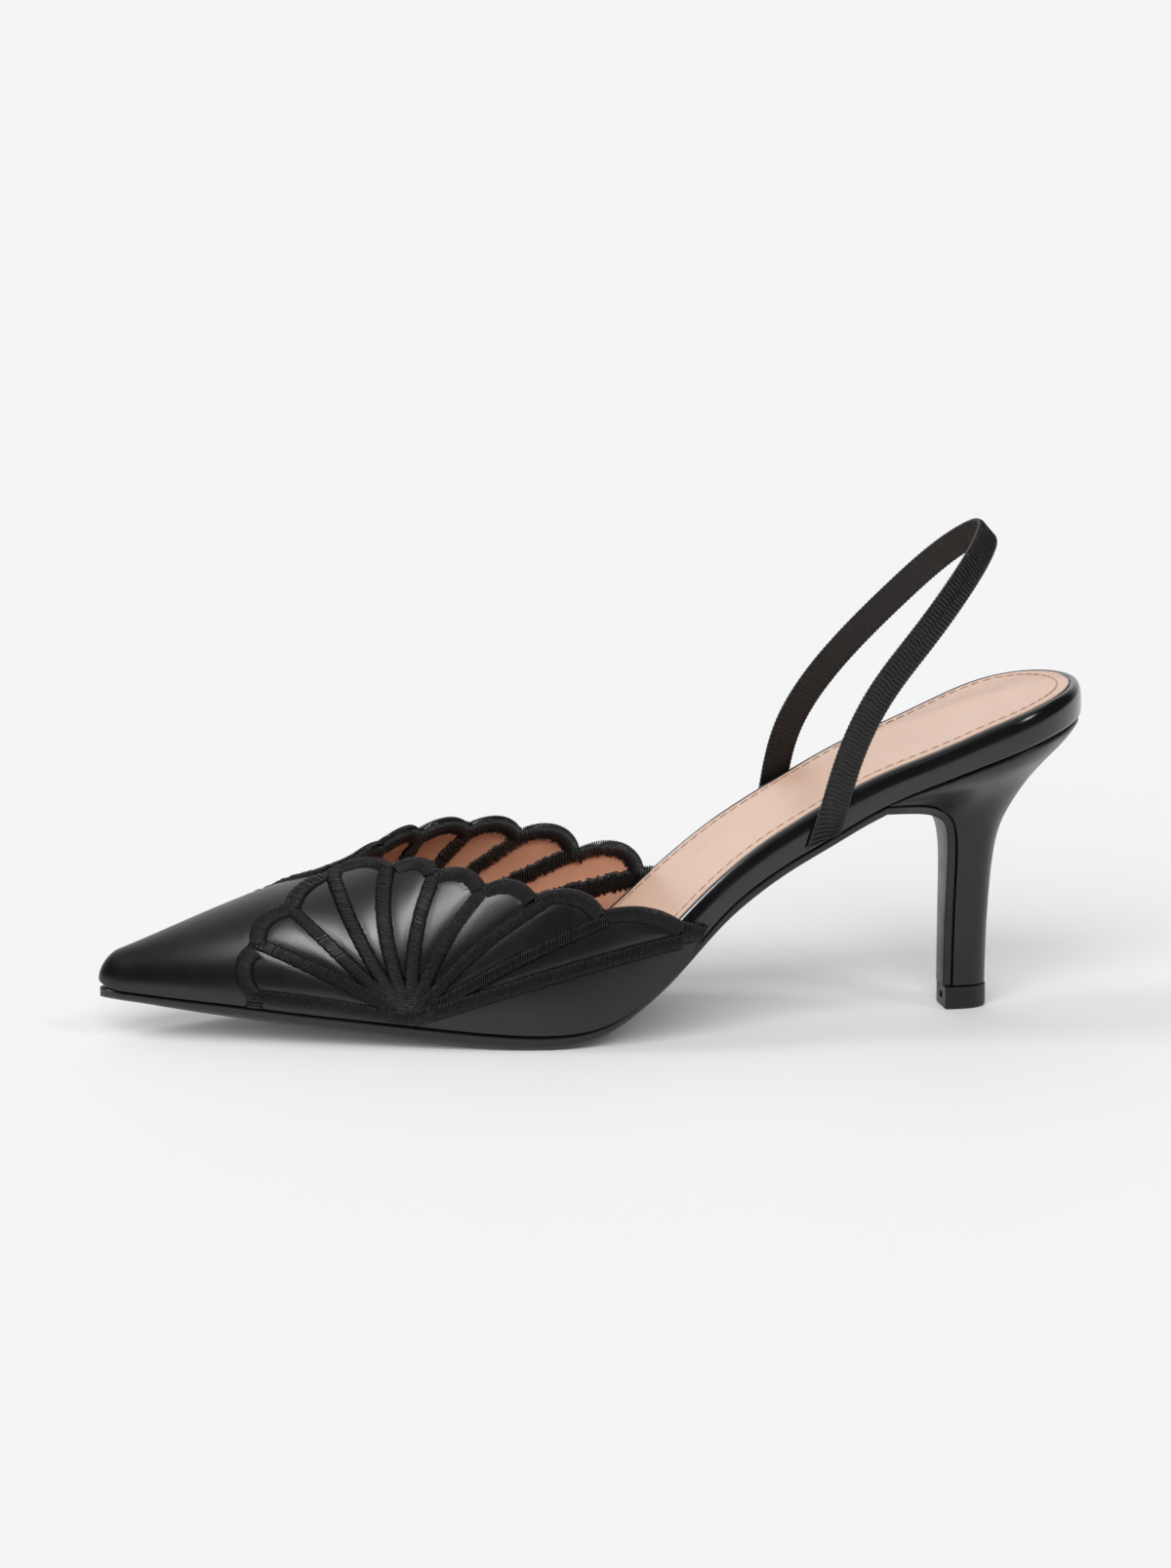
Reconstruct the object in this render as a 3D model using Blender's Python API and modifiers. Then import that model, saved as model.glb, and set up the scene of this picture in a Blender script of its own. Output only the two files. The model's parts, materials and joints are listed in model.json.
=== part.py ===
"""Slingback heeled mule, a left shoe: pointed vamp with a scalloped shell on each side, wrapped footbed,
thin outsole that turns down the heel breast, slender covered heel and an elastic sling.

All sizes are in millimetres until an object is made. +X points to the heel, +Y to the inner (medial) side
of the foot and +Z up. The floor is z = 0 and the toe tip is at x = -LENGTH / 2.
"""

from collections import namedtuple

import bmesh
import bpy
import numpy as np

MM = 0.001

# Driving dimensions
LENGTH = 240.6
BALL_WIDTH = 72.0
HEEL_HEIGHT = 69.6
INSTEP_HEIGHT = 84.0
UPPER_WALL = 1.8
GAP = 0.3

TOE_X = -LENGTH / 2
HEEL_X = LENGTH / 2
HALF_BALL = BALL_WIDTH / 2
# Moves every piece so that the middle of the whole width lies at y = 0
CENTRE_Y = 1.071
# The plan is drawn to the upper's outer face; the footbed lies inside it
FOOTBED_INSET = UPPER_WALL + GAP

# Rounded ends of the plan, as the length over which the half width grows from nothing
NOSE_ROUND = 5.0
SEAT_ROUND = 25.0
NOSE_HEIGHT = 13.8

# Section of the upper: how far the wall rises before it leans in, how wide the crown stays, and the bulge
WALL_RISE = 0.48
CROWN = 0.50
WALL_BULGE = 1.3

LATERAL = -1
MEDIAL = 1

# The last in plan. along: share of the length from the toe. axis: the centre line's y in mm.
# lateral, medial: half widths as shares of half the ball width.
Plan = namedtuple("Plan", "along axis lateral medial")
PLAN = [
    Plan(0.000, 0.0, 0.105, 0.110),
    Plan(0.030, 0.1, 0.190, 0.200),
    Plan(0.070, 0.3, 0.310, 0.330),
    Plan(0.130, 0.5, 0.475, 0.500),
    Plan(0.190, 0.6, 0.625, 0.665),
    Plan(0.250, 0.5, 0.755, 0.805),
    Plan(0.310, 0.2, 0.865, 0.915),
    Plan(0.375, -0.5, 0.955, 0.980),
    Plan(0.430, -1.2, 0.995, 0.965),
    Plan(0.480, -2.0, 0.985, 0.905),
    Plan(0.540, -3.2, 0.915, 0.775),
    Plan(0.600, -4.3, 0.835, 0.705),
    Plan(0.670, -5.0, 0.775, 0.690),
    Plan(0.740, -5.0, 0.755, 0.740),
    Plan(0.810, -4.4, 0.770, 0.805),
    Plan(0.880, -3.2, 0.790, 0.850),
    Plan(0.940, -1.8, 0.800, 0.860),
    Plan(1.000, -0.2, 0.800, 0.860),
]

# The last from the side. feather: underside of the footbed and of the upper. top: upper face of the
# footbed. Both are shares of the heel height.
Profile = namedtuple("Profile", "along feather top")
PROFILE = [
    Profile(0.000, 0.176, 0.212),
    Profile(0.060, 0.158, 0.195),
    Profile(0.130, 0.139, 0.174),
    Profile(0.200, 0.117, 0.152),
    Profile(0.270, 0.096, 0.130),
    Profile(0.340, 0.073, 0.107),
    Profile(0.390, 0.060, 0.096),
    Profile(0.430, 0.056, 0.100),
    Profile(0.465, 0.066, 0.134),
    Profile(0.500, 0.104, 0.209),
    Profile(0.525, 0.157, 0.291),
    Profile(0.550, 0.227, 0.379),
    Profile(0.580, 0.335, 0.482),
    Profile(0.610, 0.446, 0.574),
    Profile(0.640, 0.531, 0.653),
    Profile(0.680, 0.618, 0.739),
    Profile(0.720, 0.692, 0.815),
    Profile(0.770, 0.786, 0.898),
    Profile(0.830, 0.868, 0.976),
    Profile(0.890, 0.939, 1.058),
    Profile(0.950, 1.006, 1.125),
    Profile(1.000, 1.050, 1.164),
]

# The centre ridge of the last, from the nose over the vamp to the instep. height: share of the instep
# height. shift: how far the ridge lies to the medial side of the plan's axis, in mm.
Ridge = namedtuple("Ridge", "along height shift")
RIDGE = [
    Ridge(0.000, 0.229, 0.0),
    Ridge(0.038, 0.268, 0.0),
    Ridge(0.078, 0.312, 0.1),
    Ridge(0.117, 0.355, 0.2),
    Ridge(0.157, 0.396, 0.3),
    Ridge(0.196, 0.427, 0.4),
    Ridge(0.236, 0.456, 0.6),
    Ridge(0.263, 0.488, 0.9),
    Ridge(0.292, 0.535, 1.4),
    Ridge(0.321, 0.588, 2.0),
    Ridge(0.375, 0.680, 2.6),
    Ridge(0.438, 0.780, 3.0),
    Ridge(0.500, 0.875, 3.0),
    Ridge(0.600, 1.000, 3.0),
]

# The shell on each side of the vamp: ribs that fan out from a hub above the feather line to the valleys of
# the scalloped border. turn: degrees up from the heelward direction. lateral, medial: distance from the hub
# to the valley in mm. root: how far below the hub the rib starts. aim: how far in front of the valley it
# ends. sway: how far its middle bows toward the toe. bulge, medial_bulge: how far the scallop behind the
# rib stands out from its chord on each side.
Rib = namedtuple("Rib", "turn lateral medial root aim sway bulge medial_bulge")
RIBS = [
    Rib(185.8, 34.8, 34.8, 3.2, 0.0, 0.0, 3.4, 3.4),
    Rib(162.7, 35.4, 35.4, 1.0, 0.0, 0.0, 2.6, 2.6),
    Rib(137.7, 33.9, 33.9, 0.7, 0.0, 0.3, 2.2, 2.2),
    Rib(106.8, 41.0, 41.0, 0.0, 0.3, 3.0, 3.2, 3.2),
    Rib(88.4, 36.6, 38.7, 0.0, 1.9, 1.7, 3.3, 3.6),
    Rib(72.3, 33.4, 36.4, 0.0, 0.6, 0.8, 2.7, 3.0),
    Rib(50.5, 32.2, 38.2, 0.3, -0.4, 0.0, 2.7, 3.0),
    Rib(30.3, 37.2, 43.6, 1.7, -1.6, 0.0, 3.2, 3.6),
    Rib(12.2, 49.0, 54.2, 2.2, -1.2, 0.0, 2.2, 4.8),
    Rib(0.7, 67.0, 68.2, 3.6, -3.6, 0.0, 0.0, 0.0),
]
HUB_X = -51.5
HUB_RISE = 5.0
THROAT_RIB = 3
RIB_HALF = 1.7
LAST_RIB_HALF = 2.3
BORDER = 3.2
NET_LIFT = 0.40
NET_THICKNESS = 0.7
RIDGE_CLEAR = {LATERAL: 2.2, MEDIAL: 4.0}
HUB_FOOT = 6.0
# The fan's base line climbs from the hub to the tail instead of following the feather line's dip
BASE_CLIMB = 0.29
BASE_EASE = 6.0
TAIL_TOP = (73.0, -2.2)
TAIL_FOOT = (70.8, -4.9)
# Front foot of the border: its inner corner and where the first rib's lower edge meets it
FOOT_INNER = -30.6
FOOT_CORNER_RISE = -3.9

# The outsole under the footbed. edge: height of its side in mm. drop: how far the tread lies below that.
Sole = namedtuple("Sole", "along edge drop")
SOLE = [
    Sole(0.000, 1.6, 0.7),
    Sole(0.060, 1.9, 1.1),
    Sole(0.130, 2.1, 1.5),
    Sole(0.270, 2.2, 1.9),
    Sole(0.360, 2.2, 2.1),
    Sole(0.430, 2.2, 2.1),
    Sole(0.480, 2.0, 1.4),
    Sole(0.520, 1.6, 0.8),
    Sole(0.560, 1.9, 0.5),
    Sole(0.610, 2.5, 0.4),
    Sole(0.680, 2.1, 0.4),
    Sole(0.780, 1.9, 0.4),
]
WAIST_END_X = 62.0
FOREPART_INSET = 0.3
WAIST_INSET = 3.0
FOREPART_BEVEL = 5.0
WAIST_BEVEL = 1.2
WAIST_FROM_X = -22.0
WAIST_TO_X = 26.0
BREAST_FLAP = 2.1
FLAP_BEVEL = 0.6
# The sole starts this many degrees round the nose, and a bevel takes no more than this share of its width
SOLE_TIP_ANGLE = 12
BEVEL_LIMIT = 0.3

# The heel from its tip up to the rim below the seat, one row for each section: where the section's front
# and back lie, half its width, half the width of its flat front, the share of its length where it is
# widest, and how much of the seat's curve it follows.
Section = namedtuple("Section", "front_x front_z back_x back_z half front_half belly follow")
HEEL = [
    Section(88.0, 6.0, 97.0, 6.0, 4.8, 4.5, 0.45, 0.0),
    Section(88.1, 16.0, 97.2, 16.0, 5.1, 4.7, 0.45, 0.0),
    Section(88.3, 27.0, 97.7, 27.0, 5.6, 5.2, 0.45, 0.0),
    Section(88.5, 37.0, 98.7, 37.6, 6.6, 6.0, 0.45, 0.0),
    Section(88.1, 43.8, 100.4, 45.2, 8.0, 7.0, 0.46, 0.0),
    Section(86.6, 48.2, 103.2, 50.8, 10.4, 8.6, 0.47, 0.1),
    Section(83.2, 51.2, 107.0, 56.4, 13.8, 11.2, 0.48, 0.3),
    Section(78.6, 53.0, 111.2, 61.4, 18.2, 15.0, 0.50, 0.55),
    Section(73.0, 54.2, 115.6, 66.4, 22.9, 19.8, 0.52, 0.8),
    Section(67.4, 54.8, 119.0, 71.2, 25.6, 22.8, 0.53, 1.0),
]
HEEL_RINGS = 28
SEAT_FRONT_X = 67.4
SEAT_BACK_X = 119.8
# The seat lies this far to the medial side of the plan's axis
SEAT_SHIFT = 1.0

# Top piece under the heel tip, with a small slot in its front face
TOP_PIECE_HEIGHT = 5.6
TOP_PIECE_FRONT_X = 86.0
TOP_PIECE_BACK_X = 97.2
TOP_PIECE_HALF = 5.1
TOP_PIECE_FRONT_HALF = 4.7
TOP_PIECE_CHAMFER = 0.4
SLOT_WIDTH = 2.6
SLOT_HEIGHT = 1.6
SLOT_DEPTH = 1.5
SLOT_Z = 3.0

# The footbed's edge from its underside to the recess for the sock. inset: how far in from the widest line.
# share: height as a share of the footbed's thickness. sink: how far below that, in mm.
Layer = namedtuple("Layer", "inset share sink")
FOOTBED_EDGE = [
    Layer(1.30, 0.00, 0.0),
    Layer(0.35, 0.10, 0.0),
    Layer(0.00, 0.45, 0.0),
    Layer(0.20, 0.80, 0.0),
    Layer(0.70, 0.95, 0.0),
    Layer(1.40, 1.00, 0.0),
    Layer(2.65, 1.00, 0.0),
    Layer(2.85, 1.00, 0.5),
]
FOOTBED_TOE_CLEAR = 1.6

# The sock lies in the recess. inset: how far in from its edge. rise: height above the footbed's rim, in mm.
Sock = namedtuple("Sock", "inset rise")
SOCK_EDGE = [Sock(0.0, -0.2), Sock(0.0, 0.3), Sock(0.4, 0.6)]
SOCK_INSET = FOOTBED_INSET + FOOTBED_EDGE[-1].inset + GAP

# The elastic sling's centre line, from its lateral anchor on the footbed's side round the back of the heel
# to the medial anchor
Sling = namedtuple("Sling", "x y z")
SLING = [
    Sling(49.5, -31.4, 45.0),
    Sling(50.7, -31.6, 48.8),
    Sling(51.9, -31.7, 52.4),
    Sling(53.0, -31.5, 56.0),
    Sling(54.3, -31.0, 60.2),
    Sling(58.3, -29.5, 70.6),
    Sling(65.4, -27.9, 83.0),
    Sling(75.4, -25.6, 95.0),
    Sling(85.8, -20.2, 106.6),
    Sling(93.8, -10.6, 114.8),
    Sling(96.4, -2.4, 117.4),
    Sling(94.4, 5.2, 115.4),
    Sling(88.5, 11.6, 109.8),
    Sling(78.6, 16.2, 99.8),
    Sling(66.9, 18.6, 87.6),
    Sling(57.7, 19.4, 76.4),
    Sling(52.0, 19.9, 66.0),
    Sling(49.2, 20.0, 55.6),
    Sling(47.9, 20.0, 47.4),
]
SLING_WIDTH = 7.0
SLING_THICKNESS = 1.2
SLING_CORNER = 0.3
SLING_STEPS = 60
# The sling's width leans this way at the back of the heel
SLING_LEAN = (0.65, 0.0, -0.76)
# The lateral end is cut along the footbed's lower edge: slope of the cut and the length it is spread over
SLING_CUT = 0.85
SLING_CUT_RUN = 10.0
TANGENT_STEP = 0.1

# Steps of the meshes
NOSE_STEPS = 6
BODY_STEPS = 36
SEAT_STEPS = 9
SOLE_STEPS = 44
WALL_ROWS = 8
VAMP_COLUMNS = 13
SCALLOP_STEPS = 7
HEEL_FRONT_STEPS = 4
HEEL_BACK_STEPS = 7
SECTION_SAMPLES = 41
NORMAL_STEP = 0.4
MERGE_DISTANCE = 1e-7
SHARP_ANGLE = 35
RIB_POINT_SPACING = 4.5
PETAL_SAMPLES = 121

COLLECTION = "Slingback heeled mule"

# Colour, roughness and metallic value of each material
FINISHES = {
    "black_leather": ((0.012, 0.012, 0.013), 0.42, 0.0),
    "black_thread": ((0.010, 0.010, 0.011), 0.48, 0.0),
    "black_patent_edge": ((0.008, 0.008, 0.009), 0.18, 0.0),
    "tan_leather": ((0.62, 0.33, 0.19), 0.35, 0.0),
    "black_sole": ((0.014, 0.014, 0.015), 0.45, 0.0),
    "black_heel_cover": ((0.012, 0.012, 0.013), 0.34, 0.0),
    "black_plastic": ((0.016, 0.016, 0.017), 0.50, 0.0),
    "black_elastic": ((0.013, 0.013, 0.014), 0.62, 0.0),
}


def natural_spline(x, y):
    """A natural cubic spline through the points, as a function."""
    x = np.asarray(x, float)
    y = np.asarray(y, float)
    h = np.diff(x)
    slope = np.diff(y) / h
    count = len(x)
    system = np.eye(count)
    right = np.zeros(count)
    for i in range(1, count - 1):
        system[i, i - 1 : i + 2] = h[i - 1], 2 * (h[i - 1] + h[i]), h[i]
        right[i] = 6 * (slope[i] - slope[i - 1])
    bend = np.linalg.solve(system, right)

    def value(at):
        i = np.clip(np.searchsorted(x, at) - 1, 0, count - 2)
        t = at - x[i]
        first = slope[i] - h[i] * (2 * bend[i] + bend[i + 1]) / 6
        return y[i] + t * (first + t * (bend[i] / 2 + t * (bend[i + 1] - bend[i]) / (6 * h[i])))

    return value


def along_spline(rows, column, scale=1.0):
    """One column of a table as a smooth function of x."""
    x = [TOE_X + row.along * LENGTH for row in rows]
    return natural_spline(x, [getattr(row, column) * scale for row in rows])


axis_y = along_spline(PLAN, "axis")
half_lateral = along_spline(PLAN, "lateral", HALF_BALL)
half_medial = along_spline(PLAN, "medial", HALF_BALL)
feather_z = along_spline(PROFILE, "feather", HEEL_HEIGHT)
footbed_z = along_spline(PROFILE, "top", HEEL_HEIGHT)
ridge_z = along_spline(RIDGE, "height", INSTEP_HEIGHT)
ridge_shift = along_spline(RIDGE, "shift")
sole_edge = along_spline(SOLE, "edge")
sole_drop = along_spline(SOLE, "drop")


def ease(x, start, end):
    """A smooth step from 0 at start to 1 at end."""
    t = np.clip((x - start) / (end - start), 0.0, 1.0)
    return t * t * (3.0 - 2.0 * t)


def rounded(distance, reach):
    """Share of the full half width at a distance from a rounded end."""
    share = np.clip(distance / reach, 0.0, 1.0)
    return np.sqrt(share * (2.0 - share))


def outline_y(side, x, inset=0.0, tip=0.0):
    """The plan's outline on one side. inset moves it in from the outer face, tip shortens the toe."""
    half = (half_lateral(x) if side == LATERAL else half_medial(x)) - inset
    toe = rounded(x - TOE_X - tip, NOSE_ROUND)
    seat = rounded(HEEL_X + FOOTBED_INSET - inset - x, SEAT_ROUND + FOOTBED_INSET - inset)
    return axis_y(x) + side * half * toe * seat


def outline_stations(inset, tip):
    """x values from toe to heel, closer together around the nose and the seat."""
    toe = TOE_X + tip
    heel = HEEL_X + FOOTBED_INSET - inset
    quarter = np.radians(np.linspace(0, 90, NOSE_STEPS))
    nose = toe + NOSE_ROUND * (1 - np.cos(quarter))
    quarter = np.radians(np.linspace(90, 0, SEAT_STEPS))
    seat = heel - (SEAT_ROUND + FOOTBED_INSET - inset) * (1 - np.cos(quarter))
    body = np.linspace(nose[-1], seat[0], BODY_STEPS)
    return np.concatenate([nose[:-1], body, seat[1:]])


def plan_ring(inset, tip, height):
    """A closed ring round the plan at a height that depends on x: toe, lateral side, heel, medial side."""
    x = outline_stations(inset, tip)
    lateral = np.stack([x, outline_y(LATERAL, x, inset, tip), height(x)], axis=1)
    medial = np.stack([x, outline_y(MEDIAL, x, inset, tip), height(x)], axis=1)
    return np.concatenate([lateral, medial[-2:0:-1]])


def half_section(side, x):
    """Points (y, z) of the upper's outer half section at x, from the feather line to the ridge."""
    nose = float(rounded(x - TOE_X, NOSE_ROUND))
    low = NOSE_HEIGHT + (feather_z(x) - NOSE_HEIGHT) * nose
    high = NOSE_HEIGHT + (ridge_z(x) - NOSE_HEIGHT) * nose
    middle = axis_y(x) + ridge_shift(x) * nose
    edge = outline_y(side, x)
    corners = np.array([
        (edge, low),
        (edge + side * WALL_BULGE * nose, low + WALL_RISE * (high - low)),
        (middle + CROWN * (edge - middle), high),
        (middle, high),
    ])
    t = np.linspace(0.0, 1.0, SECTION_SAMPLES)[:, None]
    weights = np.hstack([(1 - t) ** 3, 3 * (1 - t) ** 2 * t, 3 * (1 - t) * t**2, t**3])
    return weights @ corners


def run_length(points):
    """Distance from the first point to each point of a line."""
    return np.concatenate([[0.0], np.cumsum(np.linalg.norm(np.diff(points, axis=0), axis=1))])


def ridge_girth(side, x):
    """Distance along the half section from the feather line to the ridge."""
    return run_length(half_section(side, x))[-1]


def wall_point(side, x, girth):
    """The point of the upper's outer face at x, at a distance up the wall from the feather line."""
    section = half_section(side, x)
    run = run_length(section)
    return np.array([x, np.interp(girth, run, section[:, 0]), np.interp(girth, run, section[:, 1])])


def wall_normal(side, x, girth):
    """The direction that points out of the upper's outer face."""
    low = min(girth, ridge_girth(side, x) - NORMAL_STEP) - NORMAL_STEP
    along = wall_point(side, x + NORMAL_STEP, girth) - wall_point(side, x - NORMAL_STEP, girth)
    up = wall_point(side, x, low + 2 * NORMAL_STEP) - wall_point(side, x, low)
    normal = side * np.cross(up, along)
    return normal / np.linalg.norm(normal)


def fan_place(side, p, h):
    """Where a point of the flat fan lies on the wall, as x and girth. p runs heelward from the hub."""
    x = HUB_X + p
    base = 0.0
    if p > 0:
        line = feather_z(HUB_X) + BASE_CLIMB * p * p / (p + BASE_EASE)
        base = max(0.0, line - feather_z(x))
    return x, float(np.clip(base + HUB_RISE + h, 0.0, ridge_girth(side, x)))


def rib_end(side, rib):
    """The valley of the border that a rib belongs to, in the flat pattern."""
    reach = rib.lateral if side == LATERAL else rib.medial
    turn = np.radians(rib.turn)
    return np.array([reach * np.cos(turn), reach * np.sin(turn)])


def rib_frame(side, rib):
    """A rib's start, its direction, the direction forward of it, and its length, in the flat pattern."""
    root = np.array([0.0, -rib.root])
    reach = rib_end(side, rib) - root
    forward = np.array([-reach[1], reach[0]]) / np.linalg.norm(reach)
    reach = reach + rib.aim * forward
    length = np.linalg.norm(reach)
    return root, reach / length, np.array([-reach[1], reach[0]]) / length, length


def rib_edge(side, rib, shift, share):
    """A point beside a rib's bowed middle line, at a share of the rib's length."""
    root, along, forward, length = rib_frame(side, rib)
    return root + share * length * along + (4 * rib.sway * share * (1 - share) + shift) * forward


def rib_place(side, rib, point):
    """Share of the rib's length and distance forward of its middle line for a point of the flat pattern."""
    root, along, forward, length = rib_frame(side, rib)
    share = (point - root) @ along / length
    return share, (point - root) @ forward - 4 * rib.sway * share * (1 - share)


def scallop(side, index, inset=0.0, steps=SCALLOP_STEPS):
    """Points of the round scallop from one rib's valley to the next, moved in from the border."""
    start = rib_end(side, RIBS[index])
    end = rib_end(side, RIBS[index + 1])
    bulge = RIBS[index].bulge if side == LATERAL else RIBS[index].medial_bulge
    chord = end - start
    half = np.linalg.norm(chord) / 2
    outward = np.array([-chord[1], chord[0]]) / (2 * half)
    radius = (half**2 + bulge**2) / (2 * bulge)
    centre = (start + end) / 2 - outward * (radius - bulge)
    opening = np.arcsin(min(1.0, half / radius))
    if bulge > half:
        opening = np.pi - opening
    across = chord / (2 * half)
    angles = np.linspace(-opening, opening, steps + 1)[:, None]
    return centre + (radius - inset) * (np.cos(angles) * outward + np.sin(angles) * across)


def evenly(start, end, spacing):
    """Points from start up to, but not including, end."""
    start = np.asarray(start, float)
    end = np.asarray(end, float)
    count = max(1, int(round(np.linalg.norm(end - start) / spacing)))
    return [start + (end - start) * i / count for i in range(count)]


def petal(side, index):
    """The opening between two ribs and the border: two sides from a point, and a round end."""
    front = RIBS[index]
    back = RIBS[index + 1]
    back_half = LAST_RIB_HALF if index == len(RIBS) - 2 else RIB_HALF
    round_end = [
        point
        for point in scallop(side, index, BORDER, 3 * SCALLOP_STEPS)
        if rib_place(side, front, point)[1] < -RIB_HALF and rib_place(side, back, point)[1] > back_half
    ]
    round_end = round_end[:-1:3] + round_end[-1:]
    shares = np.linspace(0.0, 1.0, PETAL_SAMPLES)
    front_line = np.array([rib_edge(side, front, -RIB_HALF, share) for share in shares])
    back_line = np.array([rib_edge(side, back, back_half, share) for share in shares])
    apart = np.linalg.norm(front_line[:, None] - back_line[None], axis=2)
    i, j = np.unravel_index(np.argmin(apart), apart.shape)
    tip = (front_line[i] + back_line[j]) / 2
    front_end = rib_place(side, front, round_end[0])[0]
    back_end = rib_place(side, back, round_end[-1])[0]
    count = max(2, round(np.linalg.norm(round_end[0] - tip) / RIB_POINT_SPACING))
    front_shares = np.linspace(shares[i], front_end, count + 1)[1:-1]
    count = max(2, round(np.linalg.norm(round_end[-1] - tip) / RIB_POINT_SPACING))
    back_shares = np.linspace(back_end, shares[j], count + 1)[1:-1]
    front_side = [rib_edge(side, front, -RIB_HALF, share) for share in front_shares]
    back_side = [rib_edge(side, back, back_half, share) for share in back_shares]
    return [tip] + front_side + round_end + back_side


def border_points(side):
    """The fan's outer edge from the front foot over all scallops to the tail."""
    points = []
    for index in range(len(RIBS) - 1):
        points += list(scallop(side, index))[:-1]
    points.append(rib_end(side, RIBS[-1]))
    return points


def net_outline(side):
    """The embroidery's closed outline: border, tail, the last rib's lower edge, hub, the first rib's."""
    border = border_points(side)
    border[0] = np.array([border[0][0], -HUB_RISE + GAP])
    hub_back = (HUB_FOOT, -HUB_RISE + GAP)
    hub_front = (-HUB_FOOT, -HUB_RISE + GAP)
    foot_corner = (FOOT_INNER, FOOT_CORNER_RISE)
    lower = [np.array(TAIL_TOP)]
    lower += evenly(TAIL_FOOT, hub_back, RIB_POINT_SPACING)
    lower += evenly(hub_back, hub_front, RIB_POINT_SPACING)
    lower += evenly(hub_front, foot_corner, RIB_POINT_SPACING)
    lower += [np.array(foot_corner), np.array([FOOT_INNER, -HUB_RISE + GAP])]
    return border + lower


def finish(name):
    """A Principled material from the table of finishes."""
    colour, roughness, metallic = FINISHES[name]
    material = bpy.data.materials.new(name)
    material.use_nodes = True
    shader = material.node_tree.nodes["Principled BSDF"]
    shader.inputs["Base Color"].default_value = (*colour, 1.0)
    shader.inputs["Roughness"].default_value = roughness
    shader.inputs["Metallic"].default_value = metallic
    material.diffuse_color = (*colour, 1.0)
    return material


def add_object(name, points, faces, material, collection, closed=True):
    """An object from points in millimetres. A closed body gets its faces turned out."""
    mesh = bpy.data.meshes.new(name)
    placed = (np.asarray(points, float) + (0.0, CENTRE_Y, 0.0)) * MM
    mesh.from_pydata(placed.tolist(), [], faces)
    shape = bmesh.new()
    shape.from_mesh(mesh)
    bmesh.ops.remove_doubles(shape, verts=shape.verts, dist=MERGE_DISTANCE)
    if closed:
        bmesh.ops.recalc_face_normals(shape, faces=shape.faces)
    shape.to_mesh(mesh)
    shape.free()
    mesh.shade_smooth()
    mesh.set_sharp_from_angle(angle=np.radians(SHARP_ANGLE))
    mesh.materials.append(finish(material))
    part = bpy.data.objects.new(name, mesh)
    collection.objects.link(part)
    return part


def cap(ring, first, pairing):
    """Faces across a ring, between its two sides. pairing says which point lies opposite point 0."""
    count = len(ring)
    faces = []
    for i in range(count // 2):
        corners = [i, i + 1, (pairing - i - 1) % count, (pairing - i) % count]
        corners = [first + c for c in dict.fromkeys(corners)]
        if len(corners) > 2:
            faces.append(corners)
    return faces


def loft(rings, pairing):
    """Points and faces of a closed body through rings of equal size, with both ends capped."""
    points = np.concatenate(rings)
    count = len(rings[0])
    faces = []
    for level in range(len(rings) - 1):
        for i in range(count):
            j = (i + 1) % count
            low = level * count
            faces.append([low + i, low + j, low + count + j, low + count + i])
    faces += cap(rings[0], 0, pairing)
    faces += cap(rings[-1], (len(rings) - 1) * count, pairing)
    return points, faces


def make_upper(collection):
    """Vamp and quarters: a surface over the last, thickened inward, open at throat, back and underside."""
    points = []
    faces = []
    for side in (LATERAL, MEDIAL):
        columns = upper_columns(side)
        first = len(points)
        for column in columns:
            points += column
        for i in range(len(columns) - 1):
            for j in range(WALL_ROWS - 1):
                low = first + i * WALL_ROWS + j
                face = [low, low + WALL_ROWS, low + WALL_ROWS + 1, low + 1]
                faces.append(face if side == LATERAL else face[::-1])
    upper = add_object("upper", points, faces, "black_leather", collection, closed=False)
    wall = upper.modifiers.new("Wall", "SOLIDIFY")
    wall.thickness = UPPER_WALL * MM
    wall.offset = -1.0
    wall.use_even_offset = True


def upper_columns(side):
    """Columns of points from the feather line to the ridge or, behind the throat, to the topline."""
    throat_x = HUB_X + rib_end(side, RIBS[THROAT_RIB])[0]
    quarter = np.radians(np.linspace(0, 90, NOSE_STEPS))
    nose = TOE_X + NOSE_ROUND * (1 - np.cos(quarter))
    vamp = np.linspace(nose[-1], throat_x, VAMP_COLUMNS)
    feet = [(x, x, ridge_girth(side, x)) for x in np.concatenate([nose[:-1], vamp])]
    for index in range(THROAT_RIB, len(RIBS) - 1):
        foot_start = HUB_X + rib_end(side, RIBS[index])[0]
        foot_end = HUB_X + rib_end(side, RIBS[index + 1])[0]
        line = scallop(side, index)
        for step in range(1, len(line)):
            share = step / (len(line) - 1)
            feet.append((foot_start + (foot_end - foot_start) * share, *fan_place(side, *line[step])))
    feet.append((HUB_X + TAIL_FOOT[0], *fan_place(side, *TAIL_TOP)))
    rises = np.linspace(0.0, 1.0, WALL_ROWS)
    columns = []
    for foot, top, girth in feet:
        columns.append([wall_point(side, foot + (top - foot) * rise, girth * rise) for rise in rises])
    return columns


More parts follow.
